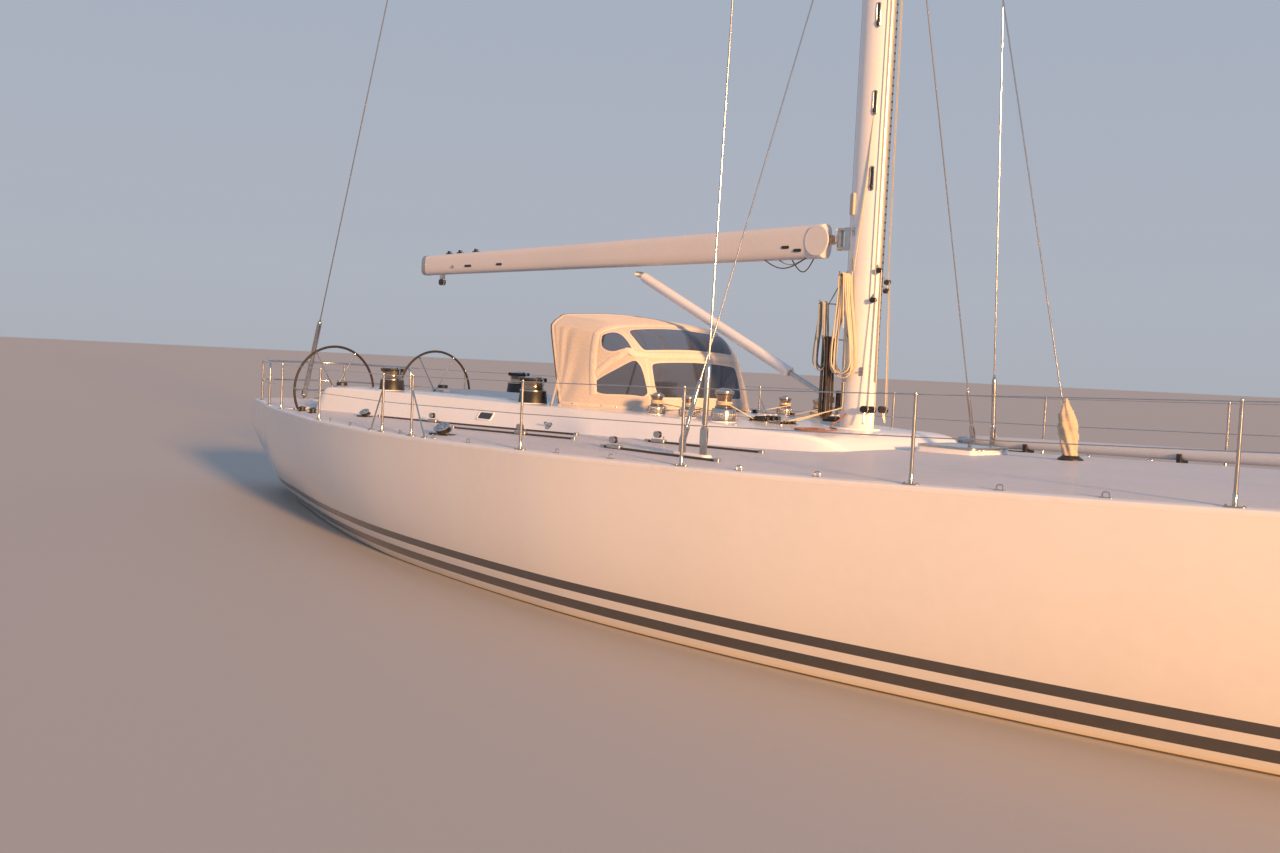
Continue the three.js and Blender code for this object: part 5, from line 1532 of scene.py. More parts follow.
mesh = bmesh.new()
skin(mesh, [boom_ring(BOOM.fore + GAP), boom_ring(BOOM.fore + 0.045), boom_ring(BOOM.fore + 0.056, -0.003),
    boom_ring(BOOM.fore + 0.06, -0.01)])
turned(mesh, [(0.15, 0), (0.15, 0.01), (0.146, 0.014)],
    at((BOOM.fore + 0.02, 0, 3.61)) @ ALONG_Y @ at((0, 0, 0.092)), 40)
outline = [(-0.14, -0.06), (-0.01, -0.045), (0.022, -0.028), (0.03, 0), (0.022, 0.028), (-0.01, 0.045),
    (-0.14, 0.06)]
slab(mesh, outline, -0.02, 0.02, 0.002, on_edge(GOOSENECK_PIN), 1)
fitting = finished("boom_inboard_end", mesh, [SHADED_BOOM_PAINT, STEEL])
bored(fitting, GOOSENECK_PIN - PIN_REACH, GOOSENECK_PIN + PIN_REACH, 0.0127)
settled(fitting, "spar", "boom_end_fitting", body="boom")

mesh = bmesh.new()
way = (VANG_FOOT - VANG_LUG).normalized()
place = aimed(VANG_LUG, VANG_FOOT)
turned(mesh, [(0.03, 0.06), (0.05, 0.075), (0.056, 0.092), (0.056, 2.5), (0.058, 2.505), (0.058, 2.545),
    (0.05, 2.55)], place, 32)
for side in (-1, 1):
    cheek = at(VANG_LUG + Vector((0, side * 0.025, 0))) @ spun(atan2(-way.z, way.x) + pi, 4, "Y") @ ALONG_Y
    slab(mesh, both_sides(VANG_CHEEK)[::-1], -0.009, 0.009, 0.002, cheek, 1)
turned(mesh, [(0.014, -0.036), (0.014, 0.036)], on_edge(VANG_LUG), 20, 1)
vang = finished("vang_barrel_tube", mesh, [SPAR, STEEL])
bored(vang, VANG_LUG + way * 0.4, VANG_LUG + way * 2.7, 0.027, 32)
settled(vang, "spar", "vang_barrel", body="vang_barrel")

mesh = bmesh.new()
tube(mesh, [VANG_LUG + way * 0.6, VANG_FOOT - way * 0.02], 0.0266, 32)
turned(mesh, [(0.028, -0.03), (0.032, -0.026), (0.032, 0.026), (0.028, 0.03)], at(VANG_FOOT), 28)
fitted("vang_rod_steel", mesh, [STEEL], "steel", "vang_rod", body="vang_rod")
for name in ("gooseneck_bracket", "gooseneck_toggle", "vang_bracket"):
    dressed(name, STEEL)

# Hatches
# Low painted alloy frames bonded to the deck. The fore hatch closes with a smoked acrylic pane in an
# alloy rim on two hinges, and the aft one with a moulded lid that has its own non-skid.


def opened_ring(mesh, outline, rim, low, high, edge, place):
    """A rim along an outline, of a box section with softened edges."""
    shape = [(0, low), (0, high - edge), (edge, high), (rim - edge, high), (rim, high - edge), (rim, low)]
    loops = [[place @ Vector((x, y, z)) for x, y in inset(outline, amount)] for amount, z in shape]
    skin(mesh, [list(section) for section in zip(*loops)], looped=True)


ACRYLIC = plain_finish("smoked_acrylic", "26221f", 0.07, "8a7d6c", 0.12, 3, 0.0002, Coat_Weight=0.5,
    Coat_Roughness=0.03)
LID_GELCOAT, tree, shader = new_material("lid_non_skid", Coat_Weight=0.1, Coat_Roughness=0.2)
place = own_place(tree)
weathered(tree, shader, rgb("cdc7c4"), "8f8072", 0.3, 1.6, 0.6)
relief(tree, shader, non_skid(tree, place), 0.0006)

KNUCKLE = Sizes(radius=0.0075, middle=0.01, inner=0.013, outer=0.045, room=0.0105)


def hinge_knuckles(mesh, place, spans):
    """Short barrels between pairs of ends along the hinge's axis."""
    r = KNUCKLE.radius
    for low, high in spans:
        turned(mesh, [(r - 0.0005, low), (r, low + 0.0005), (r, high - 0.0005), (r - 0.0005, high)],
            place @ ALONG_Y, 16)


for name, hatch, pane in (("fore_hatch", FORE_HATCH, ACRYLIC), ("aft_hatch", AFT_HATCH, LID_GELCOAT)):
    half, rise, lid = hatch.half, hatch.rise, hatch.lid
    seat = at((hatch.x, 0, deck_z(hatch.x, 0)))
    square = rounded(half * 2, half * 2, 0.05)
    inner, outer, room = KNUCKLE.inner, KNUCKLE.outer, KNUCKLE.room
    axes = [seat @ at((half, y, rise)) for y in (-0.6 * half, 0.6 * half)]
    mesh = bmesh.new()
    opened_ring(mesh, square, HATCH_RIM, -0.006, rise - GAP, 0.004, seat)
    opened_ring(mesh, rounded(half * 2 + 0.036, half * 2 + 0.036, 0.066), 0.02, -0.006, 0.006, 0.002, seat)
    for axis in axes:
        hinge_knuckles(mesh, axis, ((-outer, -inner), (inner, outer)))
    rim = finished(name + "_rim", mesh, [MOULDING])
    notches = []
    for axis in axes:
        notches.append(bmesh.new())
        block(notches[-1], axis @ Vector((-room, -inner + 0.0005, -room)),
            axis @ Vector((0.02, inner - 0.0005, 0.02)))
    carved(rim, notches)
    settled(rim, "alloy", name + "_frame")
    mesh = bmesh.new()
    opened_ring(mesh, square, 0.034, rise, rise + lid, 0.004, seat)
    slab(mesh, inset(square, 0.033), rise + 0.004, rise + lid - 0.0015, 0.002, seat, 1)
    notches = []
    for axis in axes:
        hinge_knuckles(mesh, axis, ((-KNUCKLE.middle, KNUCKLE.middle),))
        turned(mesh, [(0.02, 0), (0.021, 0.003), (0.019, 0.007), (0.009, 0.009)],
            axis @ at((0.075 - 2 * half, 0, lid - 0.002)), 24)
        for low, high in ((-outer - 0.002, -inner + 0.002), (inner - 0.002, outer + 0.002)):
            notches.append(bmesh.new())
            block(notches[-1], axis @ Vector((-room, low, -room)), axis @ Vector((0.02, high, room)))
    leaf = finished(name + "_leaf", mesh, [ALLOY, pane])
    carved(leaf, notches)
    settled(leaf, "acrylic" if pane is ACRYLIC else "moulding", name + "_lid", body=name)

# Companionway
# A moulded hatch slides forward on the roof between two rails under the spray hood, and three
# varnished boards close the doorway below it.

SLIDE = Sizes(aft=-3.42, fore=-2.72, half=0.38, top=1.872)
SLIDE_RAIL = ((-0.01, -0.004), (0.01, -0.004), (0.01, 0.018), (0.006, 0.021), (-0.006, 0.021), (-0.01, 0.018))
WASHBOARD = Sizes(aft=-3.388, thick=0.03, top=1.788, boards=3)


def slide_ring(x, shrink=0):
    """A section of the slide: its foot follows the roof's crown and its top is level."""
    half, high = SLIDE.half - shrink, SLIDE.top - shrink
    ring = [(x, y, roof_top(x, y) + 0.0006) for y in steps(-half, half, 0.076)]
    edge = 0.01
    ring += [(x, half, high - edge), (x, half - edge * 0.3, high - edge * 0.3), (x, half - edge, high)]
    ring += [(x, y, high) for y in (half * 0.5, 0, -half * 0.5)]
    return ring + [(x, -half + edge, high), (x, -half + edge * 0.3, high - edge * 0.3),
        (x, -half, high - edge)]


def wood(name, dark, light):
    """Varnished hardwood whose grain runs across the boat, in streaks of two tones."""
    made, tree, shader = new_material(name, Coat_Weight=0.7, Coat_Roughness=0.06)
    place = own_place(tree)
    broad, narrow = (put(tree, "ShaderNodeMapping", {"Vector": place, "Scale": scale}).outputs["Vector"]
        for scale in ((9, 1.1, 9), (240, 8, 240)))
    fibre = noise(tree, narrow, 1, 3)
    tone = mixed(tree, wave(tree, broad, "Z", 1.4, 5, 3), rgb(dark), rgb(light))
    colour = mixed(tree, spread(tree, fibre, 0.35, 0.7, 0, 0.5), tone, rgb(dark))
    weathered(tree, shader, colour, "3a2414", 0.3, 4, 0.3)
    relief(tree, shader, fibre, 0.0002)
    return made


WOOD = wood("varnished_board", "5a2f16", "8f5a2e")
mesh = bmesh.new()
skin(mesh, [slide_ring(SLIDE.aft, 0.006), slide_ring(SLIDE.aft + 0.006), slide_ring(-3.2), slide_ring(-2.95),
    slide_ring(SLIDE.fore - 0.006), slide_ring(SLIDE.fore, 0.006)])
for y in (-0.22, 0, 0.22):
    slab(mesh, rounded(0.56, 0.09, 0.03), SLIDE.top - 0.003, SLIDE.top + 0.004, 0.003, at((-3.05, y, 0)))
grip = [(-3.375, -0.13, 1.868), (-3.375, -0.13, 1.9), (-3.375, 0.13, 1.9), (-3.375, 0.13, 1.868)]
tube(mesh, curved(grip, 0.02), 0.008, 12, slot=1)
fitted("companionway_slide_moulding", mesh, [MOULDING, STEEL], "moulding", "companionway_slide",
    body="companionway_slide")

mesh = bmesh.new()
for side in (-1, 1):
    y = side * (SLIDE.half + 0.018)
    skin(mesh, [[(x, y + across, roof_top(x, y) + rise) for across, rise in SLIDE_RAIL]
        for x in steps(SLIDE.aft, -2.27, 0.115)])
fitted("companionway_rails", mesh, [ALLOY], "alloy")

mesh = bmesh.new()
board = (WASHBOARD.top - COMPANIONWAY.sill) / WASHBOARD.boards
facing_aft = at((WASHBOARD.aft, 0, 0)) @ ALONG_X
for k in range(WASHBOARD.boards):
    middle = COMPANIONWAY.sill + board * (k + 0.5)
    wide = COMPANIONWAY.half * 2 - 0.002
    slab(mesh, rounded(board - 0.0016, wide, 0.003), 0, WASHBOARD.thick, 0.0025,
        facing_aft @ at((-middle, 0, 0)))
for z in steps(1.6, 1.72, 0.03):
    slab(mesh, rounded(0.012, 0.26, 0.005), -0.004, 0.004, 0.002, facing_aft @ at((-z, 0, 0)))
fitted("washboards", mesh, [WOOD], "wood", "washboard")

# Steering
# Two wheels stand in the wide after part of the cockpit, each with a leather-covered rim on
# steel spokes. Moulded pedestals carry their axles, and a compass tops each one.

WHEEL = Sizes(x=-8.68, y=0.845, z=1.717, radius=0.622, tube=0.017, spokes=6)
AXLE = Sizes(radius=0.02, bore=0.0208, end=-8.53)
PEDESTAL = Sizes(x=-8.48, foot=0.11, head=0.08, top=1.8, compass=0.075)

LEATHER, tree, shader = new_material("rim_leather", Sheen_Weight=0.1)
place = own_place(tree)
weathered(tree, shader, rgb("1b1819"), "4a4038", 0.3, 9, 0.55)
grain = put(tree, "ShaderNodeTexVoronoi", {"Vector": place, "Scale": 420}).outputs["Distance"]
relief(tree, shader, grain, 0.0004)


def wheel_point(turn, side, radius):
    return Vector((WHEEL.x, side * WHEEL.y + radius * cos(turn), WHEEL.z + radius * sin(turn)))


def pedestal_ring(half, z, corner, side):
    return [(PEDESTAL.x + x, side * WHEEL.y + y, z) for x, y in rounded(half * 2, half * 2, half * corner)]


for word, side in SIDES:
    centre = wheel_point(0, side, 0)
    forward = aimed(centre, centre + Vector((1, 0, 0)))
    mesh = bmesh.new()
    tube(mesh, [wheel_point(a, side, WHEEL.radius) for a in angles(96)], WHEEL.tube, 16, looped=True, slot=1)
    tube(mesh, [wheel_point(a, side, WHEEL.radius - WHEEL.tube) for a in angles(96)], 0.0022, 6, looped=True)
    for a in angles(WHEEL.spokes):
        tube(mesh, [wheel_point(a, side, 0.05), wheel_point(a, side, WHEEL.radius - 0.008)], [0.0105, 0.008],
            14)
        turned(mesh, [(0.011, 0), (0.017, 0.01), (0.0185, 0.022), (0.0185, 0.034), (0.016, 0.036)],
            aimed(wheel_point(a, side, WHEEL.radius - 0.036), wheel_point(a, side, 1)), 16)
    turned(mesh, [(0.04, -0.036), (0.058, -0.034), (0.065, -0.026), (0.065, 0.026), (0.058, 0.034),
        (0.04, 0.035)], forward, 40)
    turned(mesh, [(0.012, -0.06), (0.026, -0.058), (0.03, -0.05), (0.03, -0.044), (0.022, -0.034)], forward,
        24)
    turned(mesh, [(0.019, 0.03), (AXLE.radius, 0.032), (AXLE.radius, AXLE.end - WHEEL.x - 0.002),
        (0.018, AXLE.end - WHEEL.x)], forward, 24)
    fitted(f"steering_wheel_{word}_spoked", mesh, [STEEL, LEATHER], "steel", f"steering_wheel_{word}",
        body=f"wheel_{word}")
    mesh = bmesh.new()
    foot, head, sole, high = PEDESTAL.foot, PEDESTAL.head, COCKPIT.sole + GAP, PEDESTAL.top
    skin(mesh, [pedestal_ring(*row, side) for row in ((foot, sole, 0.35), (foot, sole + 0.012, 0.35),
        (foot * 0.97, sole + 0.02, 0.35), (foot * 0.92, sole + 0.05, 0.35), (head * 1.02, sole + 0.55, 0.35),
        (head, high - 0.06, 0.5), (head, high - 0.012, 0.6), (head * 0.94, high, 0.7))])
    seat = Vector((PEDESTAL.x - 0.04, side * WHEEL.y, WHEEL.z))
    boss = aimed(seat, centre)
    turned(mesh, [(0.055, 0), (0.055, 0.062), (0.048, 0.068), (0.048, 0.094), (0.044, 0.1)], boss, 32, slot=1)
    dome = at((PEDESTAL.x, side * WHEEL.y, high))
    r = PEDESTAL.compass
    turned(mesh, [(r, -0.004), (r, 0.03), (r * 0.96, 0.038), (r * 0.86, 0.042)], dome, 36, slot=2)
    turned(mesh, [(r * 0.84, 0.03), (r * 0.84, 0.044), (r * 0.74, 0.066), (r * 0.52, 0.084),
        (r * 0.25, 0.093), (0.002, 0.095)], dome, 36, slot=3)
    lever = [(PEDESTAL.x, side * (WHEEL.y - 0.07), 1.6), (PEDESTAL.x, side * (WHEEL.y - 0.105), 1.6),
        (PEDESTAL.x + 0.02, side * (WHEEL.y - 0.108), 1.72)]
    tube(mesh, curved(lever, 0.015), 0.006, 10, slot=1)
    turned(mesh, [(0.006, -0.01), (0.015, -0.004), (0.015, 0.008), (0.006, 0.014)],
        aimed(lever[2], (lever[2][0], lever[2][1], 2)), 16, slot=2)
    stand = finished(f"steering_pedestal_{word}_moulding", mesh, [MOULDING, STEEL, BLACK_PLASTIC_AND_HOLE_SHADE, ACRYLIC])
    bored(stand, seat, centre, AXLE.bore)
    settled(stand, "moulding", f"steering_pedestal_{word}")

# Mainsheet traveller
# An alloy track on a moulded bridge across the cockpit. A ball-bearing car carries the standing
# block of the mainsheet, and two small sheaves at each end take its control lines.

TRAVELLER = Sizes(x=-7.35, half=0.07, low=1.33, beam=1.42, car=1.49)


def sheave_block(mesh, place, radius, thick, frame_slot=0, sheave_slot=1):
    """Two cheeks and a grooved sheave on a pin, which is the frame's Z axis."""
    for z in (-1, 1):
        cheek = place @ at((0, 0, z * thick * 0.5))
        slab(mesh, rounded(radius * 2.5, radius * 1.9, radius * 0.9), -thick * 0.09, thick * 0.09,
            thick * 0.03, cheek, frame_slot)
    turned(mesh, scaled(radius, thick, (1, -0.38), (1, -0.3), (0.78, -0.06), (0.78, 0.06), (1, 0.3),
        (1, 0.38)), place, 28, sheave_slot)
    turned(mesh, scaled(radius, thick, (0.22, -0.66), (0.3, -0.62), (0.3, 0.62), (0.22, 0.66)), place, 14,
        frame_slot)


mesh = bmesh.new()
reach = COCKPIT.half - GAP
long_way = on_edge((TRAVELLER.x, 0, 0))
deep = TRAVELLER.beam - TRAVELLER.low
slab(mesh, [(x, z + TRAVELLER.low + deep / 2) for x, z in rounded(TRAVELLER.half * 2, deep, 0.018)], -reach,
    reach, 0.001, long_way)
rail_shape = [(0.025, 1.418), (0.025, 1.426), (0.01, 1.43), (0.01, 1.44), (0.022, 1.443), (0.022, 1.45),
    (-0.022, 1.45), (-0.022, 1.443), (-0.01, 1.44), (-0.01, 1.43), (-0.025, 1.426), (-0.025, 1.418)]
slab(mesh, rail_shape, -reach, reach, 0.0005, long_way, 1)
slab(mesh, [(x, z + 1.465) for x, z in rounded(TRAVELLER.half * 1.7, 0.044, 0.016)], -0.06, 0.06, 0.006,
    long_way, 2)
slab(mesh, rounded(0.05, 0.04, 0.012), 1.482, TRAVELLER.car, 0.002, at((TRAVELLER.x, 0, 0)), 3)
sheave_block(mesh, on_edge((TRAVELLER.x, 0, 1.556)), 0.042, 0.05, 3, 2)
tube(mesh, curved([(TRAVELLER.x - 0.018, 0, 1.486), (TRAVELLER.x - 0.018, 0, 1.512),
    (TRAVELLER.x + 0.018, 0, 1.512), (TRAVELLER.x + 0.018, 0, 1.486)], 0.015), 0.005, 10, slot=3)
for side in (-1, 1):
    for x in (-0.034, 0.034):
        spot = (TRAVELLER.x + x, side * (reach - 0.075), 1.438)
        sheave_block(mesh, at(spot), 0.022, 0.03, 2, 3)
fitted("traveller_on_bridge", mesh, [MOULDING, ALLOY, BLACK_PLASTIC_AND_HOLE_SHADE, STEEL], "alloy", "mainsheet_traveller")

# Deck fittings
# Jib tracks with their cars, pad eyes along the edge, turning blocks and vents are bolted through
# the deck. White portlights sit in the sloping sides of the roof.

TRACKS = (
    # path from aft, as X and the distance off the middle; place of the car
    (((-4.18, 1.87), (-2.05, 1.9)), -2.92),
    (((-1.24, 2.22), (0.38, 2.4)), -1.06),
    (((-6.3, 1.53), (-2.46, 1.53)), -5.1),
    (((-1.37, 1.55), (0.17, 1.63)), -1.2),
)
TRACK_SHAPE = ((-0.014, -0.004), (0.014, -0.004), (0.014, 0.002), (0.005, 0.005), (0.005, 0.01),
    (0.012, 0.013), (0.012, 0.018), (-0.012, 0.018), (-0.012, 0.013), (-0.005, 0.01), (-0.005, 0.005),
    (-0.014, 0.002))
EYES = (-6.2, -5.46, -4.06, -3.32, -2.63, -1.19, -0.49, 0.9, 1.61, 3, 3.68, 5.4, 7.3)
EYE_INSET = 0.09
FOOT_BLOCKS = (
    # x, distance off the middle, sheave radius, thickness
    (-6.5, 1.62, 0.058, 0.05),
    (-3.56, 2.42, 0.078, 0.06),
)
VENTS = ((-8.18, 1.6), (-7.68, 1.71))
PORTLIGHT = Sizes(x=-4.3, z=1.63, long=0.29, high=0.125)


def over_deck(x, y, rise=0):
    return Vector((x, y, deck_z(x, y) + rise))


def roof_side(x, z, side):
    """A frame on the roof's sloping side: X runs fore and aft, Y up the slope and Z outwards."""
    low, high, edge = (along(ROOF, index, x) for index in (1, 2, 3))
    foot = Vector((x, low, deck_z(x, low) - ROOF_SUNK))
    slope = (Vector((x, high + 0.35 * ROOF_EDGE, edge - ROOF_EDGE)) - foot).normalized()
    spot = foot + slope * ((z - foot.z) / slope.z)
    turned_axes = Matrix(((-side, 0, 0), (0, side * slope.y, slope.z), (0, side * slope.z, -slope.y)))
    return at((x, side * spot.y, spot.z)) @ turned_axes.transposed().to_4x4()


TRACK_METAL = plain_finish("track_anodising", "6b6560", 0.4, "3c3835", 0.3, 9, 0.0002, Metallic=0.6)
plunger = bmesh.new()
turned(plunger, [(0.0045, -0.001), (0.0045, 0.0006), (0.0036, 0.0012)], sides=10)
rows = []
for word, side in SIDES:
    mesh = bmesh.new()
    for path, car in TRACKS:
        places = [(x, side * along(path, 1, x)) for x in steps(path[0][0], path[-1][0], 0.12)]
        skin(mesh, [[over_deck(x, y + across, rise) for across, rise in TRACK_SHAPE] for x, y in places])
        rows.append([(over_deck(x, y, 0.018), UP) for x, y in places])
        for x, y in (places[0], places[-1]):
            slab(mesh, rounded(0.055, 0.038, 0.012), -0.004, 0.027, 0.003, at(over_deck(x, y)), 2)
        spot = at(over_deck(car, side * along(path, 1, car)))
        slab(mesh, rounded(0.18, 0.058, 0.016), 0.005, 0.036, 0.004, spot, 2)
        sheave_block(mesh, spot @ on_edge((-0.02, 0, 0.078)), 0.032, 0.036, 2, 1)
        turned(mesh, [(0.005, 0.03), (0.005, 0.055), (0.011, 0.058), (0.011, 0.064)],
            spot @ at((0.065, 0, 0)), 14, 3)
    fitted(f"jib_tracks_{word}", mesh, [TRACK_METAL, BLACK_PLASTIC_AND_HOLE_SHADE, ALLOY, STEEL], "alloy")

    mesh = bmesh.new()
    for x, y, radius, thick in FOOT_BLOCKS:
        spot = at(over_deck(x, side * y)) @ spun(-0.12 * side, 4, "Z")
        slab(mesh, rounded(radius * 4.2, radius * 1.9, radius * 0.7), -0.006, 0.012, 0.003, spot, 1)
        lying = spot @ at((0, 0, radius * 0.75)) @ spun(-0.6 * side, 4, "X")
        sheave_block(mesh, lying, radius, thick)
        # Painted shade: dark pins through the cheeks stand for the holes of the perforated block.
        for a in angles(8):
            hole = lying @ at((radius * 0.66 * cos(a), radius * 0.6 * sin(a), 0))
            turned(mesh, scaled(radius, thick, (0.11, -0.605), (0.12, -0.6), (0.12, 0.6), (0.11, 0.605)),
                hole, 12, 1)
        tube(mesh, [lying @ Vector((0, 0, -thick * 0.4)), spot @ Vector((0, 0, 0.004))], radius * 0.3, 16,
            slot=1)
    for x, y in VENTS:
        turned(mesh, [(0.056, -0.006), (0.056, 0.006), (0.04, 0.012), (0.04, 0.036), (0.052, 0.04),
            (0.05, 0.052), (0.03, 0.062), (0.002, 0.064)], at(over_deck(x, side * y)), 28, 1)
    fitted(f"foot_blocks_{word}", mesh, [ALLOY, BLACK_PLASTIC_AND_HOLE_SHADE], "alloy")

    mesh = bmesh.new()
    place = roof_side(PORTLIGHT.x, PORTLIGHT.z, side)
    outline = rounded(PORTLIGHT.long, PORTLIGHT.high, 0.036)
    opened_ring(mesh, outline, 0.022, -0.004, 0.009, 0.003, place)
    slab(mesh, inset(outline, 0.02), -0.003, 0.004, 0.001, place, 1)
    for x in (-0.09, 0.09):
        slab(mesh, rounded(0.03, 0.012, 0.004), 0.004, 0.012, 0.001,
            place @ at((x, 0.5 * PORTLIGHT.high + 0.002, 0)))
    fitted(f"portlight_{word}", mesh, [MOULDING, ACRYLIC], "moulding")

row_along("jib_track_stops", plunger, rows, 0.06, BLACK_PLASTIC_AND_HOLE_SHADE)
eye = bmesh.new()
slab(eye, rounded(0.09, 0.034, 0.016), -0.006, 0.005, 0.002)
tube(eye, curved([(-0.022, 0, 0), (-0.022, 0, 0.036), (0.022, 0, 0.036), (0.022, 0, 0)], 0.02), 0.0048, 10)
spots = []
for side in (-1, 1):
    for x in EYES:
        swing = atan2(half_beam(x + 0.1) - half_beam(x - 0.1), 0.2)
        spots.append((over_deck(x, side * (half_beam(x) - EYE_INSET)), (0, 0, side * swing)))
set_on("pad_eyes", eye, spots, STEEL)

mesh = bmesh.new()
for side in (-1, 1):
    place = roof_side(-3.1, 1.6, side)
    turned(mesh, [(0.046, -0.003), (0.046, 0.004), (0.036, 0.01)], place, 24)
    ring = [place @ Vector((0.036 * cos(a), 0, 0.034 + 0.036 * sin(a))) for a in angles(24)]
    tube(mesh, ring, 0.0075, 10, looped=True)
fitted("roof_side_eyes", mesh, [STEEL], "steel")

# Stowed pole
# A pale painted carbon pole with a jaw fitting at each end lies in chocks on the port side deck.

POLE = Sizes(aft=(-0.45, 2.42), fore=(4.6, 2.1), radius=0.062)
ends = [over_deck(*end, POLE.radius + 0.03) for end in (POLE.aft, POLE.fore)]
pole_long = (ends[1] - ends[0]).length
POLE_PAINT = plain_finish("pole_paint", "c6cbd2", 0.32, "8a8478", 0.2, 2, 0.0003, Coat_Weight=0.3)
mesh = bmesh.new()
r = POLE.radius
turned(mesh, [(r * 0.55, 0.02), (r * 0.86, 0.045), (r * 0.97, 0.11), (r, 0.22), (r, pole_long - 0.22),
    (r * 0.97, pole_long - 0.11), (r * 0.86, pole_long - 0.045), (r * 0.55, pole_long - 0.02)],
    aimed(ends[0], ends[1]), 32)
for start, end in (ends, ends[::-1]):
    turned(mesh, [(r * 0.6, -0.04), (r * 0.66, -0.034), (r * 0.66, 0.036), (r * 0.4, 0.05)],
        aimed(start, end), 24, 1)
for x in (0.4, 2.1, 3.9):
    t = (x - ends[0].x) / (ends[1].x - ends[0].x)
    spot = between(ends[0], ends[1], t)
    foot = over_deck(spot.x, spot.y)
    slab(mesh, rounded(0.05, 0.17, 0.012), -0.006, 0.034, 0.004, at(foot), 2)
    for side in (-1, 1):
        slab(mesh, rounded(0.05, 0.022, 0.006), 0.03, 0.034 + r, 0.004,
            at(foot + Vector((0, side * (r + 0.01), 0))), 2)
fitted("stowed_pole", mesh, [POLE_PAINT, ALLOY, BLACK_PLASTIC_AND_HOLE_SHADE], "spar")

# Mast fittings
# Halyards leave the mast through slots with steel guards, and blocks at its foot lead them aft.
# Their tails hang in coils from horn cleats.


def mast_spot(turn, z, out=0):
    """A point on the mast's skin and the way out of it; turn 0 faces forward and -90 to starboard."""
    a = radians(turn)
    scale = mast_scale(z)
    skin_point = Vector((MAST.x + MAST.long * scale / 2 * cos(a), MAST.wide * scale / 2 * sin(a), z))
    way = Vector((cos(a) / MAST.long, sin(a) / MAST.wide, 0)).normalized()
    return skin_point + way * out, way


def on_mast(turn, z, out=0):
    """A frame on the mast's skin: Y runs up and Z outwards."""
    spot, way = mast_spot(turn, z, out)
    return aimed(spot, spot + way)


SLOTS = ((-66, 4.88), (-62, 4.17), (-70, 5.7), (66, 4.88), (62, 4.17), (-66, 6.6), (66, 6.6))
FORE_LINES = (
    # turn of the block on the mast, its height, turn of the line's foot, rope radius
    (34, 3.12, 42, 0.006),
    (24, 3.2, 26, 0.0055),
    (-22, 3.3, -24, 0.006),
    (-34, 3.02, -40, 0.0055),
)
rope_colours = {"cream": ("d6cbb6", "ab9a7a"), "grey": ("a9aaa6", "84857f"), "black": ("201e1f", "4a3322"),
    "red": ("6d2420", "c9b79a")}


def rope(name, light, dark):
    """A braided rope: two yarns that cross in a fine diagonal pattern."""
    made, tree, shader = new_material(name, Sheen_Weight=0.25)
    place = own_place(tree)
    braid = wave(tree, place, "DIAGONAL", 32, 2.5, 2)
    yarn = maths(tree, "MULTIPLY", braid, wave(tree, place, "Z", 47, 3, 1))
    colour = mixed(tree, spread(tree, yarn, 0.25, 0.75, 0, 0.8), rgb(light), rgb(dark))
    weathered(tree, shader, colour, "6a5a46", 0.3, 5, 0.85)
    relief(tree, shader, yarn, 0.0008)
    return made


ROPES = {word: rope("rope_" + word, *tones) for word, tones in rope_colours.items()}
mesh = bmesh.new()
for turn, z in SLOTS:
    place = on_mast(turn, z)
    opened_ring(mesh, rounded(0.052, 0.24, 0.026), 0.013, -0.006, 0.004, 0.001, place)
    # Painted shade: a black plate inside the guard stands for the dark opening of the slot.
    slab(mesh, rounded(0.034, 0.222, 0.017), -0.006, 0.0015, 0.0005, place, 1)
    turned(mesh, [(0.02, -0.009), (0.024, -0.008), (0.024, 0.008), (0.02, 0.009)],
        place @ at((0, -0.07, -0.006)) @ ALONG_X, 20, 1)
for turn, z in ((-118, 3.68), (-112, 2.7), (-60, 2.34), (60, 2.34), (118, 3.68)):
    place = on_mast(turn, z)
    slab(mesh, rounded(0.04, 0.085, 0.012), -0.006, 0.008, 0.002, place)
    turned(mesh, [(0.007, 0.006), (0.007, 0.026), (0.01, 0.028), (0.01, 0.032)], place, 14)
for turn, high, low_turn, _ in FORE_LINES:
    side = copysign(1, turn)
    hung = mast_spot(turn, high, 0.05)[0]
    lead = mast_spot(low_turn, 1.985, 0.085)[0]
    place = aimed(hung, hung + Vector((0.15, side, 0)))
    sheave_block(mesh, place, 0.026, 0.03, 1, 0)
    tube(mesh, [hung, mast_spot(turn, high + 0.06, -0.004)[0]], 0.006, 10)
    foot = aimed(lead, lead + Vector((0.15, side, 0)))
    sheave_block(mesh, foot, 0.034, 0.034, 1, 0)
    tube(mesh, [lead, Vector((lead.x + 0.01, lead.y * 1.15, 1.86))], 0.007, 10)
fitted("mast_fittings", mesh, [STEEL, BLACK_PLASTIC_AND_HOLE_SHADE], "steel")

mesh = bmesh.new()
for k, (turn, high, low_turn, thick) in enumerate(FORE_LINES):
    start = mast_spot(turn, high, 0.05)[0] + Vector((0.027, 0, 0))
    end = mast_spot(low_turn, 1.985, 0.085)[0] + Vector((0.036, 0, 0))
    tube(mesh, [start, end], thick, 10, slot=k % 2)
    top = mast_spot(turn * 0.9, 6.5 + 0.7 * k, 0.03)[0]
    tube(mesh, [top, start + Vector((-0.02, 0, 0.026))], thick, 10, slot=k % 2)
for side in (-1, 1):
    tube(mesh, [mast_spot(side * 66, 4.8, -0.004)[0], mast_spot(side * 74, 4.2, 0.014)[0],
        mast_spot(side * 100, 3.3, 0.02)[0]], 0.006, 10)
fitted("mast_lines", mesh, [ROPES["cream"], ROPES["grey"]], "canvas")

PAD = Sizes(turn=-128, z=3.94)
mesh = bmesh.new()
slab(mesh, rounded(0.075, 0.215, 0.02), -0.006, 0.022, 0.006, on_mast(PAD.turn, PAD.z))
fitted("chafe_pad", mesh, [ROPES["cream"]], "canvas")

# Halyard coils
# The tails of the halyards are coiled by hand and hang from cleats on the mast's after
# starboard quarter. Their turns differ in length, and the ends hang free.

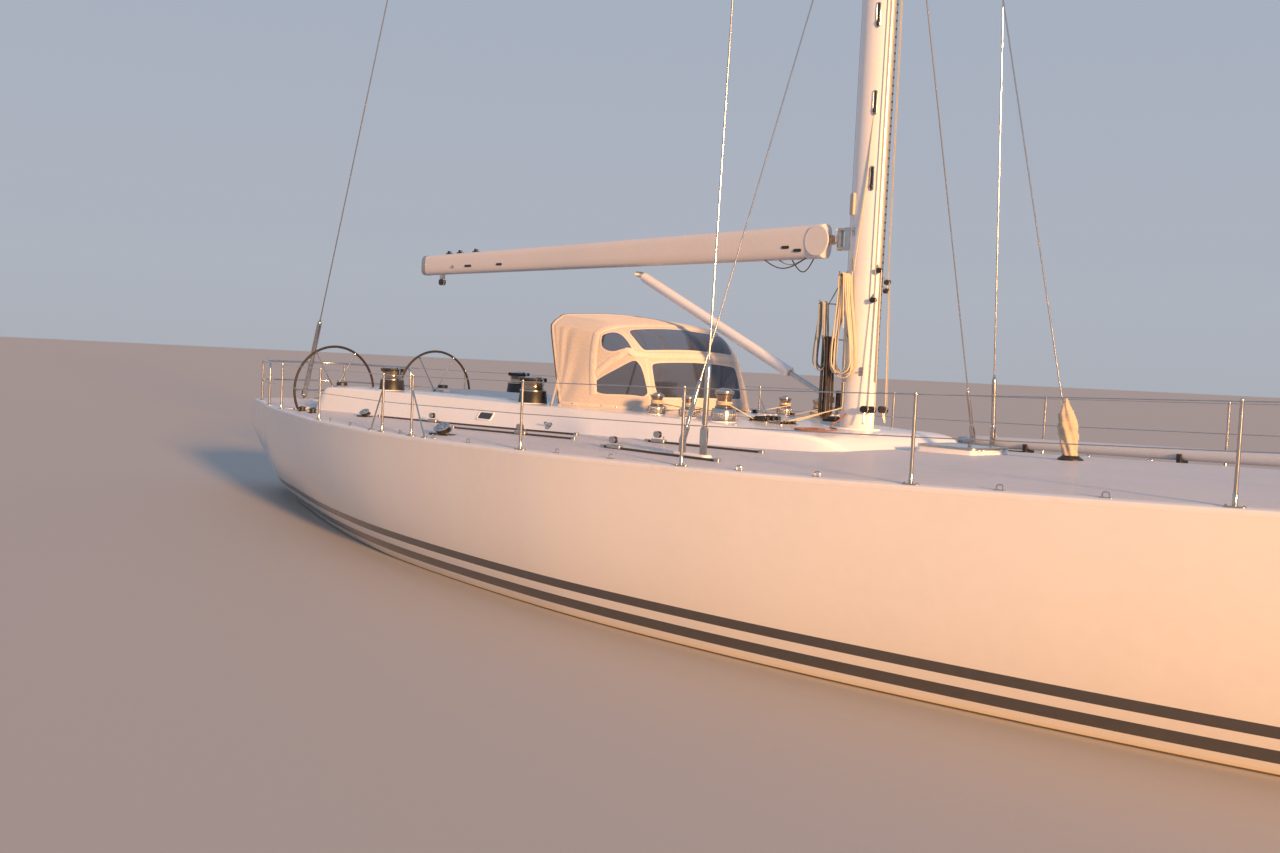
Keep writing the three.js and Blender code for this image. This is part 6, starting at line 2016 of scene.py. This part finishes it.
COILS = (
    # name, colour, where it leaves the mast, top of the coil, drop, half width, turns, diameter, lean
    ("halyard_coil_cream", "cream", (-112, 3.42), (-0.165, -0.125, 3.27), 0.99, 0.105, 8, 0.014, 0.02),
    ("halyard_coil_grey", "grey", (-160, 3.3), (-0.4, -0.16, 3), 0.66, 0.06, 6, 0.012, 0),
    ("halyard_coil_black", "black", (-155, 2.92), (-0.33, -0.125, 2.66), 0.78, 0.036, 7, 0.014, 0),
)
TURN_STEPS = 28
TURN_GAP = 1.12


def hanging_turn(t, bend, wide, long):
    """A point of one turn: over the cleat at t = 0, down, round its bottom at 0.5 and up again."""
    side, s = (1, t * 14) if t <= 0.5 else (-1, (1 - t) * 14)
    if s < 2:
        a = s * pi / 4
        return side * bend * sin(a), -bend * (1 - cos(a))
    if s < 5:
        q = (s - 2) / 3
        return side * between(bend, wide, q * q * (3 - 2 * q)), -between(bend, long - wide, q)
    a = (s - 5) * pi / 4
    return side * wide * cos(a), -(long - wide) - wide * sin(a)


def coil_path(leaving, top, drop, half, turns, diameter, lean):
    """A hanging coil whose turns stack to starboard, from the mast to its end."""
    bend, pitch = diameter * 2.2, diameter * TURN_GAP
    path = [mast_spot(*leaving, diameter * 0.5)[0]]
    for k in range(turns):
        long = drop * (1 - 0.06 * sin(2.1 * k + 0.4) - 0.05 * (k % 3 == 2))
        wide = max(half * (1 + 0.2 * sin(1.7 * k + 1)), bend)
        swing = 0.25 * half * sin(2.9 * k) + lean
        for step in range(TURN_STEPS // 7 if k == 0 else 0, TURN_STEPS):
            t = step / TURN_STEPS
            x, z = hanging_turn(t, bend, wide, long)
            path.append(Vector((top[0] + x - swing * z / long, top[1] - (k + t) * pitch, top[2] + z)))
    end = Vector((top[0], top[1] - turns * pitch, top[2]))
    for a in (pi / 8 * k for k in range(5)):
        path.append(end + Vector((bend * sin(a), -0.2 * pitch * a, bend * cos(a) - bend)))
    for t in (0.25, 0.5, 0.75, 1):
        path.append(end + Vector((bend + 0.3 * half * t, -pitch * (0.32 + 0.4 * t), -bend - 0.5 * drop * t)))
    return path


def loose_tail(name, path, diameter, colour):
    """The free end of a halyard along a path."""
    mesh = bmesh.new()
    tube(mesh, path, diameter / 2, 10)
    tail = fitted(name, mesh, [ROPES[colour]], "canvas")


hangers = bmesh.new()
for name, colour, leaving, top, drop, half, turns, diameter, lean in COILS:
    loose_tail(name, coil_path(leaving, top, drop, half, turns, diameter, lean), diameter, colour)
    under = Vector(top) - Vector((0, 0, diameter * 0.5 + 0.009))
    root = mast_spot(leaving[0], under.z - 0.01, -0.004)[0]
    reach = under - Vector((0, (turns + 1.4) * diameter * TURN_GAP, 0))
    tube(hangers, curved([root, under + Vector((0, 0.012, 0)), reach, reach + Vector((0, -0.01, 0.03))],
        0.02), 0.0075, 12)
fitted("coil_cleats", hangers, [STEEL], "steel")

COILED_DOWN = Sizes(centre=(-0.05, -0.72), radius=0.14, turns=4, diameter=0.014)
d = COILED_DOWN.diameter
lift = d * 0.5 + 0.002
path = []
for step in range(COILED_DOWN.turns * 40 + 1):
    a = 2 * pi * step / 40
    r = COILED_DOWN.radius - d * TURN_GAP * a / (2 * pi)
    x, y = COILED_DOWN.centre[0] + r * 1.15 * cos(a), COILED_DOWN.centre[1] - r * sin(a)
    path.append(Vector((x, y, roof_top(x, y) + lift)))
lead = [mast_spot(-104, 1.93, d * 0.5)[0], mast_spot(-104, 1.9, 0.03)[0],
    *(Vector((x, y, roof_top(x, y) + lift)) for x, y in ((-0.13, -0.35), (0.06, -0.46), (0.111, -0.6)))]
loose_tail("halyard_coiled_down", curved([*lead, path[0]], 0.05)[:-1] + path, d, "red")

# Halyard leads
# Lines come down the mast, turn at a flat organiser on the roof, pass through clutches and end in
# turns round the drums of the small winches.

LANES = (0.6, 0.52, 0.44)
ORGANISER_X = -0.52
CLUTCH_X = -0.76
LEAD_RADIUS = 0.005
LEAD_LIFT = 0.018
WOUND_TURNS = 2.5
WOUND_PITCH = 0.0125


def on_roof(x, y, lift=0):
    return Vector((x, y, roof_top(x, y) + lift))


for word, side in SIDES:
    mesh = bmesh.new()
    lines = bmesh.new()
    middle = side * sum(LANES) / len(LANES)
    slab(mesh, rounded(0.105, 0.275, 0.03), -0.006, 0.006, 0.002, at(on_roof(ORGANISER_X, middle)))
    slab(mesh, rounded(0.095, 0.265, 0.03), 0.03, 0.036, 0.002, at(on_roof(ORGANISER_X, middle)))
    slab(mesh, rounded(0.2, 0.27, 0.02), -0.006, 0.006, 0.002, at(on_roof(CLUTCH_X, middle)))
    for lane, (name, x, y, base, drum, height, skirt) in zip(LANES, WINCHES[2:]):
        wound = drum * 0.95 + LEAD_RADIUS
        seat = along(ROOF, 3, x) + WINCH_SEAT
        turned(mesh, [(0.034, 0.006), (0.024, 0.014), (0.024, 0.022), (0.034, 0.03)],
            at(on_roof(ORGANISER_X, side * (lane - 0.022))), 24, 1)
        clutch = at(on_roof(CLUTCH_X, side * lane))
        slab(mesh, rounded(0.175, 0.042, 0.014), 0.004, 0.054, 0.004, clutch, 1)
        slab(mesh, rounded(0.11, 0.026, 0.01), -0.006, 0.006, 0.003,
            clutch @ at((-0.012, 0, 0.064)) @ spun(-0.1, 4, "Y"), 2)
        turn = on_roof(x + wound, side * lane)
        turned(mesh, [(0.034, -0.004), (0.034, 0.006), (0.022, 0.012), (0.022, 0.024), (0.034, 0.03),
            (0.034, 0.036)], at(turn - Vector((0.018, 0, 0))), 24, 1)
        start = mast_spot(side * (120 + 60 * (0.6 - lane)), 1.98, 0.012)[0]
        path = curved([start + Vector((0, 0, 0.25)), start, on_roof(ORGANISER_X, side * lane, LEAD_LIFT),
            turn + Vector((0, 0, LEAD_LIFT)), Vector((x + wound, side * y, seat + height * 0.5))], 0.025)
        for step in range(1, 61):
            a = 2 * pi * WOUND_TURNS * step / 60
            path.append(Vector((x + wound * cos(a), side * (y + wound * sin(a)),
                seat + height * 0.5 + WOUND_PITCH * WOUND_TURNS * step / 60)))
        tube(lines, path, LEAD_RADIUS, 10, slot=0 if lane == LANES[1] else 1)
    fitted(f"clutches_{word}", mesh, [ALLOY, BLACK_PLASTIC_AND_HOLE_SHADE, MOULDING], "alloy")
    fitted(f"halyard_leads_{word}", lines, [ROPES["grey"], ROPES["cream"]], "canvas")

# Babystay sock
# A beige canvas sock is drawn over the foot of the babystay and lashed with a spiral of cord. A
# black rubber boot seals it at the deck.

SOCK = Sizes(low=0.035, high=0.52, radius=0.07, folds=6, sides=72)
BABY_HEAD = Vector((mast_face(SPREADERS[1][1], 1), 0, SPREADERS[1][1]))
foot = Vector((BABY_PAD[0], 0, BABY_PAD[2]))


def sock_ring(rise, grow=0):
    t = (rise - SOCK.low) / (SOCK.high - SOCK.low)
    around = 0.78 + 0.3 * sin(pi * min(t * 1.25, 1)) - 0.62 * max(t - 0.72, 0) / 0.28
    middle = foot + (BABY_HEAD - foot) * (rise / (BABY_HEAD.z - foot.z))
    ring = []
    for a in angles(SOCK.sides):
        fold = 1 + 0.1 * sin(SOCK.folds * a + 9 * t) + 0.05 * sin(3 * a - 22 * t) + 0.03 * sin(40 * t)
        radius = SOCK.radius * around * fold + grow
        ring.append(middle + Vector((radius * cos(a), radius * sin(a), 0)))
    return ring


SOCK_CANVAS = rope("sock_canvas", "c8b79f", "aa9880")
mesh = bmesh.new()
heights = steps(SOCK.low, SOCK.high, 0.008)
skin(mesh, [sock_ring(rise) for rise in heights] + [sock_ring(rise, -0.003) for rise in reversed(heights)],
    looped=True)
sock = fitted("babystay_sock", mesh, [SOCK_CANVAS], "canvas", sharp=180)
mesh = bmesh.new()
spiral = []
for step in range(5 * 36 + 1):
    rise = SOCK.low + 0.05 + (SOCK.high - SOCK.low - 0.08) * step / 180
    ring = sock_ring(rise, 0.0035)
    spiral.append(ring[(step * 2) % SOCK.sides])
tube(mesh, spiral, 0.003, 8)
turned(mesh, [(0.105, -0.006), (0.105, 0.012), (0.085, 0.024), (0.066, 0.04)], at(foot), 36, 1)
fitted("sock_lashing", mesh, [ROPES["cream"], BLACK_PLASTIC_AND_HOLE_SHADE], "canvas")

# Boom fittings
# Reefing lines leave the boom through slots near its inboard end and are made off in short bights
# under it. The mainsheet's upper block hangs from a strap near the outboard end.

mesh = bmesh.new()
# Painted shade: dark plates on the boom's sides stand for the openings of the reefing slots, which are not
# cut.
for x, z, long in ((-1.02, 3.555, 0.1), (-0.86, 3.52, 0.1), (-6.6, 3.5, 0.15), (-5.9, 3.505, 0.12)):
    for side in (-1, 1):
        half = between(0.1, 0.085, (BOOM.fore - x) / (BOOM.fore - BOOM.aft))
        place = on_edge((x, side * (half + 0.001), z))
        slab(mesh, rounded(long, 0.03, 0.014), -0.004, 0.004, 0.001, place, 1)
for x in (-7.18, -6.92, -6.55):
    top = between(3.78, 3.67, (BOOM.fore - x) / (BOOM.fore - BOOM.aft))
    slab(mesh, rounded(0.13, 0.05, 0.02), -0.01, 0.014, 0.003, at((x, 0, top)), 1)
    sheave_block(mesh, on_edge((x, 0, top + 0.026)), 0.02, 0.03, 1, 0)
strap_x, strap_z = -7.33, 3.405
for side in (-1, 1):
    slab(mesh, rounded(0.06, 0.09, 0.02), -0.004, 0.004, 0.001,
        on_edge((strap_x, side * 0.022, strap_z - 0.02)))
sheave_block(mesh, on_edge((strap_x, 0, strap_z - 0.105)), 0.045, 0.04, 1, 0)
turned(mesh, [(0.006, -0.03), (0.008, -0.028), (0.008, 0.028), (0.006, 0.03)],
    on_edge((strap_x, 0, strap_z - 0.05)), 14)
turned(mesh, [(0.018, -0.004), (0.02, -0.002), (0.02, 0.01), (0.014, 0.014)],
    on_edge((-6.95, 0, 3.5)) @ at((0, 0, 0.088)), 20)
fitted("boom_fittings", mesh, [STEEL, BLACK_PLASTIC_AND_HOLE_SHADE], "steel", body="boom")

mesh = bmesh.new()
for k, (aft, fore, sag, y) in enumerate(((-1.35, -0.78, 0.1, -0.045), (-1.2, -0.84, 0.06, 0),
        (-1.05, -0.76, 0.13, 0.045))):
    bight = [Vector((between(fore, aft, t), y * (1 + 0.3 * sin(pi * t)), 3.455 - sag * sin(pi * t) - 0.006))
        for t in steps(0, 1, 0.05)]
    tube(mesh, bight, 0.006, 10, slot=k % 2)
fitted("reefing_bights", mesh, [ROPES["black"], ROPES["grey"]], "canvas", body="boom")
